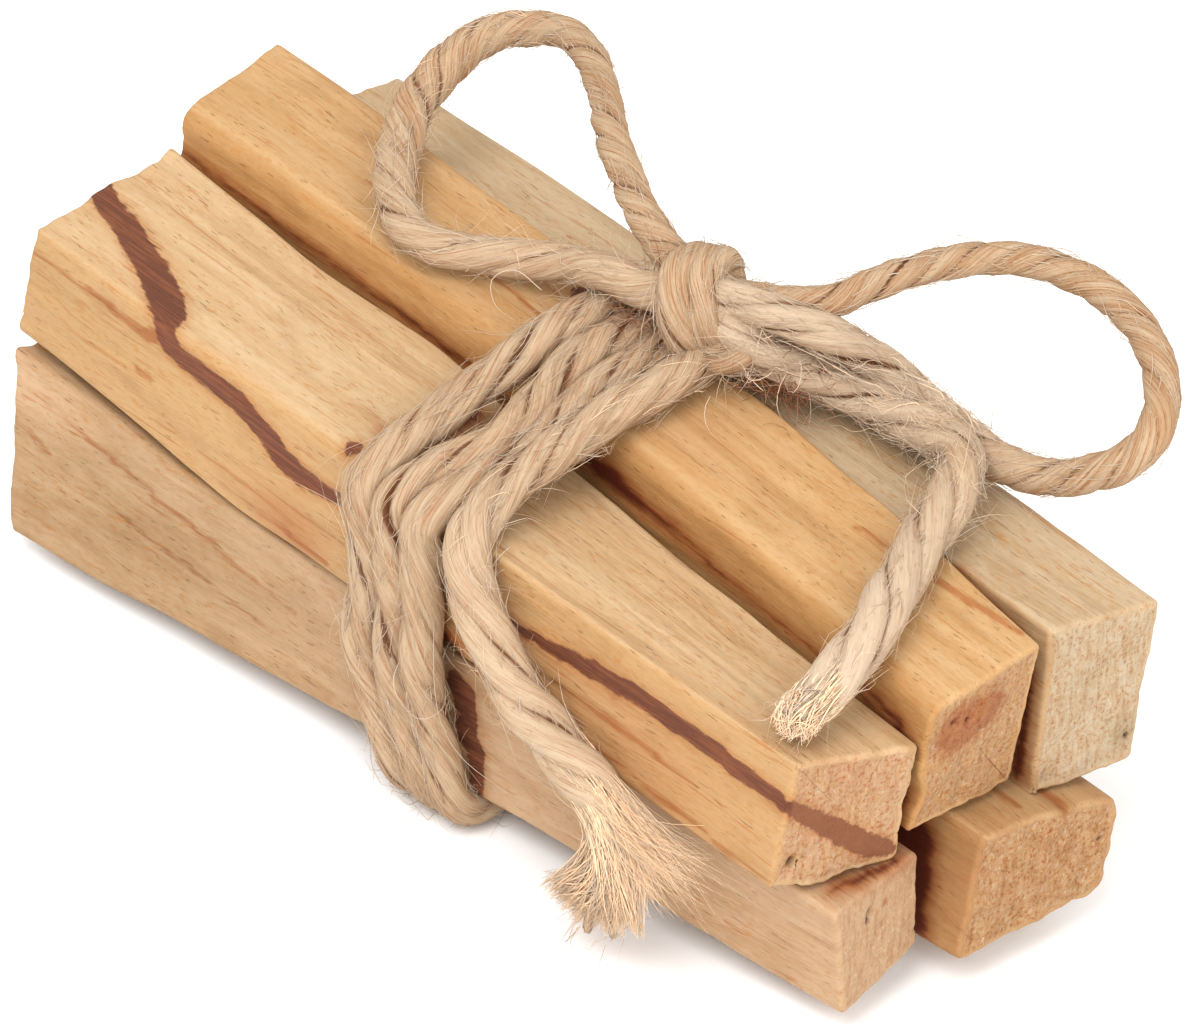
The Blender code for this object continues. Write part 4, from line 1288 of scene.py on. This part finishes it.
def make_free_twine(node, twine, material, hair):
    """One stretch of free twine with its loose fibres."""
    shape = FREE_TWINE[node]
    line = free_line(node)
    lengths = line_lengths(line)
    seed = 1 + list(FREE_TWINE).index(node)
    swell, lay, opening, thinning, bleached = (
        np.interp(lengths / lengths[-1], *zip(*shape[key]))
        for key in ("swell", "lay", "opening", "thinning", "bleached"))
    radius = 0.5 * TWINE * swell
    surface = Surface()
    laid_twine(surface, line, radius, twine.free_lay / MM * lay, twine.fibre_relief / MM, opening=opening,
               thinning=thinning, snug=shape["snug"], bleached=bleached, bare_end=shape["far_end"] == "bare",
               seed=seed)
    made = place(node + "_twine", surface, material, [node])
    fuzz = Surface()
    thickness = twine.hair_thickness / MM
    coat(fuzz, line, radius, FREE_HAIRS, thickness, seed)
    if node in LOCKS:
        brush_end(fuzz, line, radius[-1], LOCKS[node], seed + 70)
    for start, end, count in shape["frizz"]:
        part = line[int(start * len(line)):int(end * len(line))]
        # Frizz fibres run brighter than the fibres are, a painted light that lifts the twine out of its
        # shade.
        twine_hairs(fuzz, part, radius.mean(), count, seed + 65, longest=6.0, lift=0.6,
                    thickness=thickness * 0.7, tones=(0.4, 1.8))
    strays = place(node + "_fibres", fuzz, hair, [])


# Single long fibres that hang off the turns.
LONG_HAIRS = (
    ((6.4, -20.6, 21.0), (7.4, -21.4, 18.2), (8.0, -21.6, 15.0), (8.7, -21.4, 12.3), (11.0, -21.2, 10.2),
     (14.5, -20.4, 9.0), (17.4, -19.4, 7.9)),
    ((3.0, -19.8, 17.0), (3.8, -22.4, 14.0), (6.6, -22.2, 12.0), (8.4, -21.0, 13.6), (8.0, -20.6, 15.6)),
    ((-6.0, 1.0, 37.0), (-8.6, 0.4, 37.8), (-9.6, -1.2, 37.0), (-8.2, -2.0, 35.6), (-6.2, -1.6, 35.0)),
)


def make_binding(twine, material, hair):
    """The three tight turns and their loose fibres."""
    line, outward = binding_line(BOUND)
    surface = Surface()
    laid_twine(surface, line, 0.5 * BOUND, twine.bound_lay / MM, twine.fibre_relief / MM * 1.2,
               outward=outward, flat=0.14, opening=0.04, snug=0.45, bleached=0.15, seed=9)
    for points in surface.points:
        points[:, 2] = np.maximum(points[:, 2], FLOOR_GAP)
    place("binding_twine", surface, material, ["twine_wraps"])
    fuzz = Surface()
    thickness = twine.hair_thickness / MM
    coat(fuzz, line, 0.5 * BOUND, TIGHT_HAIRS, thickness, outward=outward)
    for route in LONG_HAIRS:
        fibre_tubes(fuzz, evenly(smooth_line(route), 0.6)[None], thickness * 1.3, (1.0,))
    place("binding_fibres", fuzz, hair, [])


# Where a veil of loose fibres lies over the stretches that run from the knot to the right; they are brighter
# than the fibres are, a painted light over the shaded gaps between the strands.
VEIL = ((8.5, 9.0, 39.2), (13.0, 12.0, 37.7), (17.5, 15.8, 35.3), (22.5, 17.6, 34.0), (27.0, 17.4, 33.6))
# The balls of curled fibres in and beside the knot: middle, spread, fibres, seed, tones. The first two are
# dark red-brown, painted shade under and beside the knot; the last is partly brighter than the fibres are, a
# painted light.
TANGLES = (
    ((12.3, 11.5, 34.4), (2.6, 2.2, 1.6), 300, 141, (-1.0, -0.4)),
    ((1.0, 6.5, 37.0), (2.4, 2.0, 1.4), 200, 142, (-1.0, -0.4)),
    ((10.5, 8.5, 37.5), (2.4, 2.4, 2.4), 160, 143, (0.0, 1.6)),
)


def make_knot(twine, material, hair):
    """The knot's passes and the tangle round it."""
    surface = Surface()
    fuzz = Surface()
    thickness = twine.hair_thickness / MM
    for index, route in enumerate(KNOT_PASSES):
        line = smooth_line(route)
        laid_twine(surface, line, KNOT_RADIUS, twine.bound_lay / MM, twine.fibre_relief / MM, snug=0.4,
                   bleached=0.7 if index == PAINTED_LIGHT_PASS else 0.0, seed=20 + index)
        coat(fuzz, line, KNOT_RADIUS, KNOT_HAIRS, thickness, index)
    for middle, spread, count, seed, tones in TANGLES:
        tangle(fuzz, middle, spread, count, seed, thickness, tones)
    twine_hairs(fuzz, smooth_line(VEIL), 1.7, 180, 151, longest=9.0, lift=0.14, thickness=thickness * 1.5,
                tones=(0.7, 1.7))
    place("knot_twine", surface, material, ["twine_knot"])
    place("knot_fibres", fuzz, hair, [])


# --- operators --------------------------------------------------------------------------
AIM = (0.0033, -0.0001, 0.0206)      # what the camera looks at, in metres
# The lamps, each named for its setting: their diameter and where they are, in metres.
LAMPS = (("key", 0.9, (0.22, -0.68, 1.15)), ("fill", 1.0, (1.15, -0.4, 0.75)))


def camera_turn(stage):
    """The camera's own directions: right, up and back towards it."""
    azimuth, elevation = stage.azimuth, stage.elevation
    back = Vector((math.sin(azimuth) * math.cos(elevation), -math.cos(azimuth) * math.cos(elevation),
                   math.sin(elevation)))
    right = (-back).cross(Vector((0.0, 0.0, 1.0))).normalized()
    up = right.cross(-back)
    cosine, sine = math.cos(stage.roll), math.sin(stage.roll)
    return right * cosine + up * sine, up * cosine - right * sine, back


class BUNDLE_OT_stage(bpy.types.Operator):
    """Set up the camera, the lights and the floor"""

    bl_idname = "bundle.stage"
    bl_label = "Stage"

    def execute(self, context):
        stage = context.scene.bundle_stage
        right, up, back = camera_turn(stage)
        lens = bpy.data.cameras.new("bundle_camera")
        lens.sensor_width = 36.0
        lens.lens = stage.lens
        lens.clip_end = 50.0
        camera = bpy.data.objects.new("bundle_camera", lens)
        turn = Matrix((right, up, back)).transposed().to_4x4()
        camera.matrix_world = Matrix.Translation(Vector(AIM) + back * stage.distance) @ turn
        context.scene.collection.objects.link(camera)
        context.scene.camera = camera

        floor_mesh = bpy.data.meshes.new("floor")
        floor_mesh.from_pydata([(-4, -4, 0), (4, -4, 0), (4, 4, 0), (-4, 4, 0)], [], [(0, 1, 2, 3)])
        floor = bpy.data.objects.new("floor", floor_mesh)
        paper = MaterialMaker("floor_paper")
        floor.data.materials.append(paper.set(Base_Color=tuple(stage.floor), Roughness=0.9,
                                              Specular_IOR_Level=0.1))
        context.scene.collection.objects.link(floor)

        world = bpy.data.worlds.new("studio")
        world.use_nodes = True
        background = world.node_tree.nodes["Background"]
        background.inputs["Color"].default_value = (1.0, 1.0, 1.0, 1.0)
        background.inputs["Strength"].default_value = stage.sky
        context.scene.world = world
        context.scene.view_settings.view_transform = "Standard"

        for name, size, place_at in LAMPS:
            light = bpy.data.lights.new(name, "AREA")
            light.shape = "DISK"
            light.size = size
            light.energy = getattr(stage, name)
            lamp = bpy.data.objects.new(name, light)
            spot = Vector(place_at)
            lamp.matrix_world = Matrix.Translation(spot) @ spot.to_track_quat("Z", "Y").to_matrix().to_4x4()
            context.scene.collection.objects.link(lamp)
        return {"FINISHED"}


class BUNDLE_OT_free_twine(bpy.types.Operator):
    """Make the bow's loops and tails"""

    bl_idname = "bundle.free_twine"
    bl_label = "Loops and tails"

    def execute(self, context):
        twine = context.scene.bundle_twine
        material = jute_material("jute_free", twine)
        hair = hair_material("jute_free_fibres")
        for node in FREE_TWINE:
            make_free_twine(node, twine, material, hair)
        return {"FINISHED"}


class BUNDLE_OT_binding(bpy.types.Operator):
    """Make the turns round the sticks"""

    bl_idname = "bundle.binding"
    bl_label = "Binding"

    def execute(self, context):
        twine = context.scene.bundle_twine
        make_binding(twine, jute_material("jute_bound", twine), hair_material("jute_bound_fibres"))
        return {"FINISHED"}


class BUNDLE_OT_knot(bpy.types.Operator):
    """Make the knot"""

    bl_idname = "bundle.knot"
    bl_label = "Knot"

    def execute(self, context):
        twine = context.scene.bundle_twine
        make_knot(twine, jute_material("jute_knot", twine), hair_material("jute_knot_fibres"))
        return {"FINISHED"}


class BUNDLE_OT_sticks(bpy.types.Operator):
    """Make the five sticks"""

    bl_idname = "bundle.sticks"
    bl_label = "Sticks"

    def execute(self, context):
        wood = context.scene.bundle_wood
        for name in STICKS:
            place(name + "_split", stick_surface(name, wood), wood_material(name, wood), [name])
        return {"FINISHED"}


class BUNDLE_PT_panel(bpy.types.Panel):
    """The bundle's steps and settings"""

    bl_idname = "BUNDLE_PT_panel"
    bl_label = "Palo Santo Bundle"
    bl_space_type = "VIEW_3D"
    bl_region_type = "UI"
    bl_category = "Bundle"

    def draw(self, context):
        scene = context.scene
        steps = ((BUNDLE_OT_stage, scene.bundle_stage), (BUNDLE_OT_free_twine, scene.bundle_twine),
                 (BUNDLE_OT_binding, None), (BUNDLE_OT_knot, None), (BUNDLE_OT_sticks, scene.bundle_wood))
        for step, settings in steps:
            self.layout.operator(step.bl_idname)
            if settings is not None:
                for name in type(settings).__annotations__:
                    self.layout.prop(settings, name)


CLASSES = (WoodSettings, TwineSettings, StageSettings, BUNDLE_OT_stage, BUNDLE_OT_free_twine,
           BUNDLE_OT_binding, BUNDLE_OT_knot, BUNDLE_OT_sticks, BUNDLE_PT_panel)


def register():
    """Add the bundle's settings, steps and panel to Blender."""
    for item in CLASSES:
        bpy.utils.register_class(item)
    bpy.types.Scene.bundle_wood = bpy.props.PointerProperty(type=WoodSettings)
    bpy.types.Scene.bundle_twine = bpy.props.PointerProperty(type=TwineSettings)
    bpy.types.Scene.bundle_stage = bpy.props.PointerProperty(type=StageSettings)


def unregister():
    """Take them out again."""
    del bpy.types.Scene.bundle_stage
    del bpy.types.Scene.bundle_twine
    del bpy.types.Scene.bundle_wood
    for item in reversed(CLASSES):
        bpy.utils.unregister_class(item)


def main():
    """Build the whole bundle."""
    register()
    bpy.ops.bundle.stage()
    bpy.ops.bundle.free_twine()
    bpy.ops.bundle.binding()
    bpy.ops.bundle.knot()
    bpy.ops.bundle.sticks()


if __name__ == "__main__":
    main()
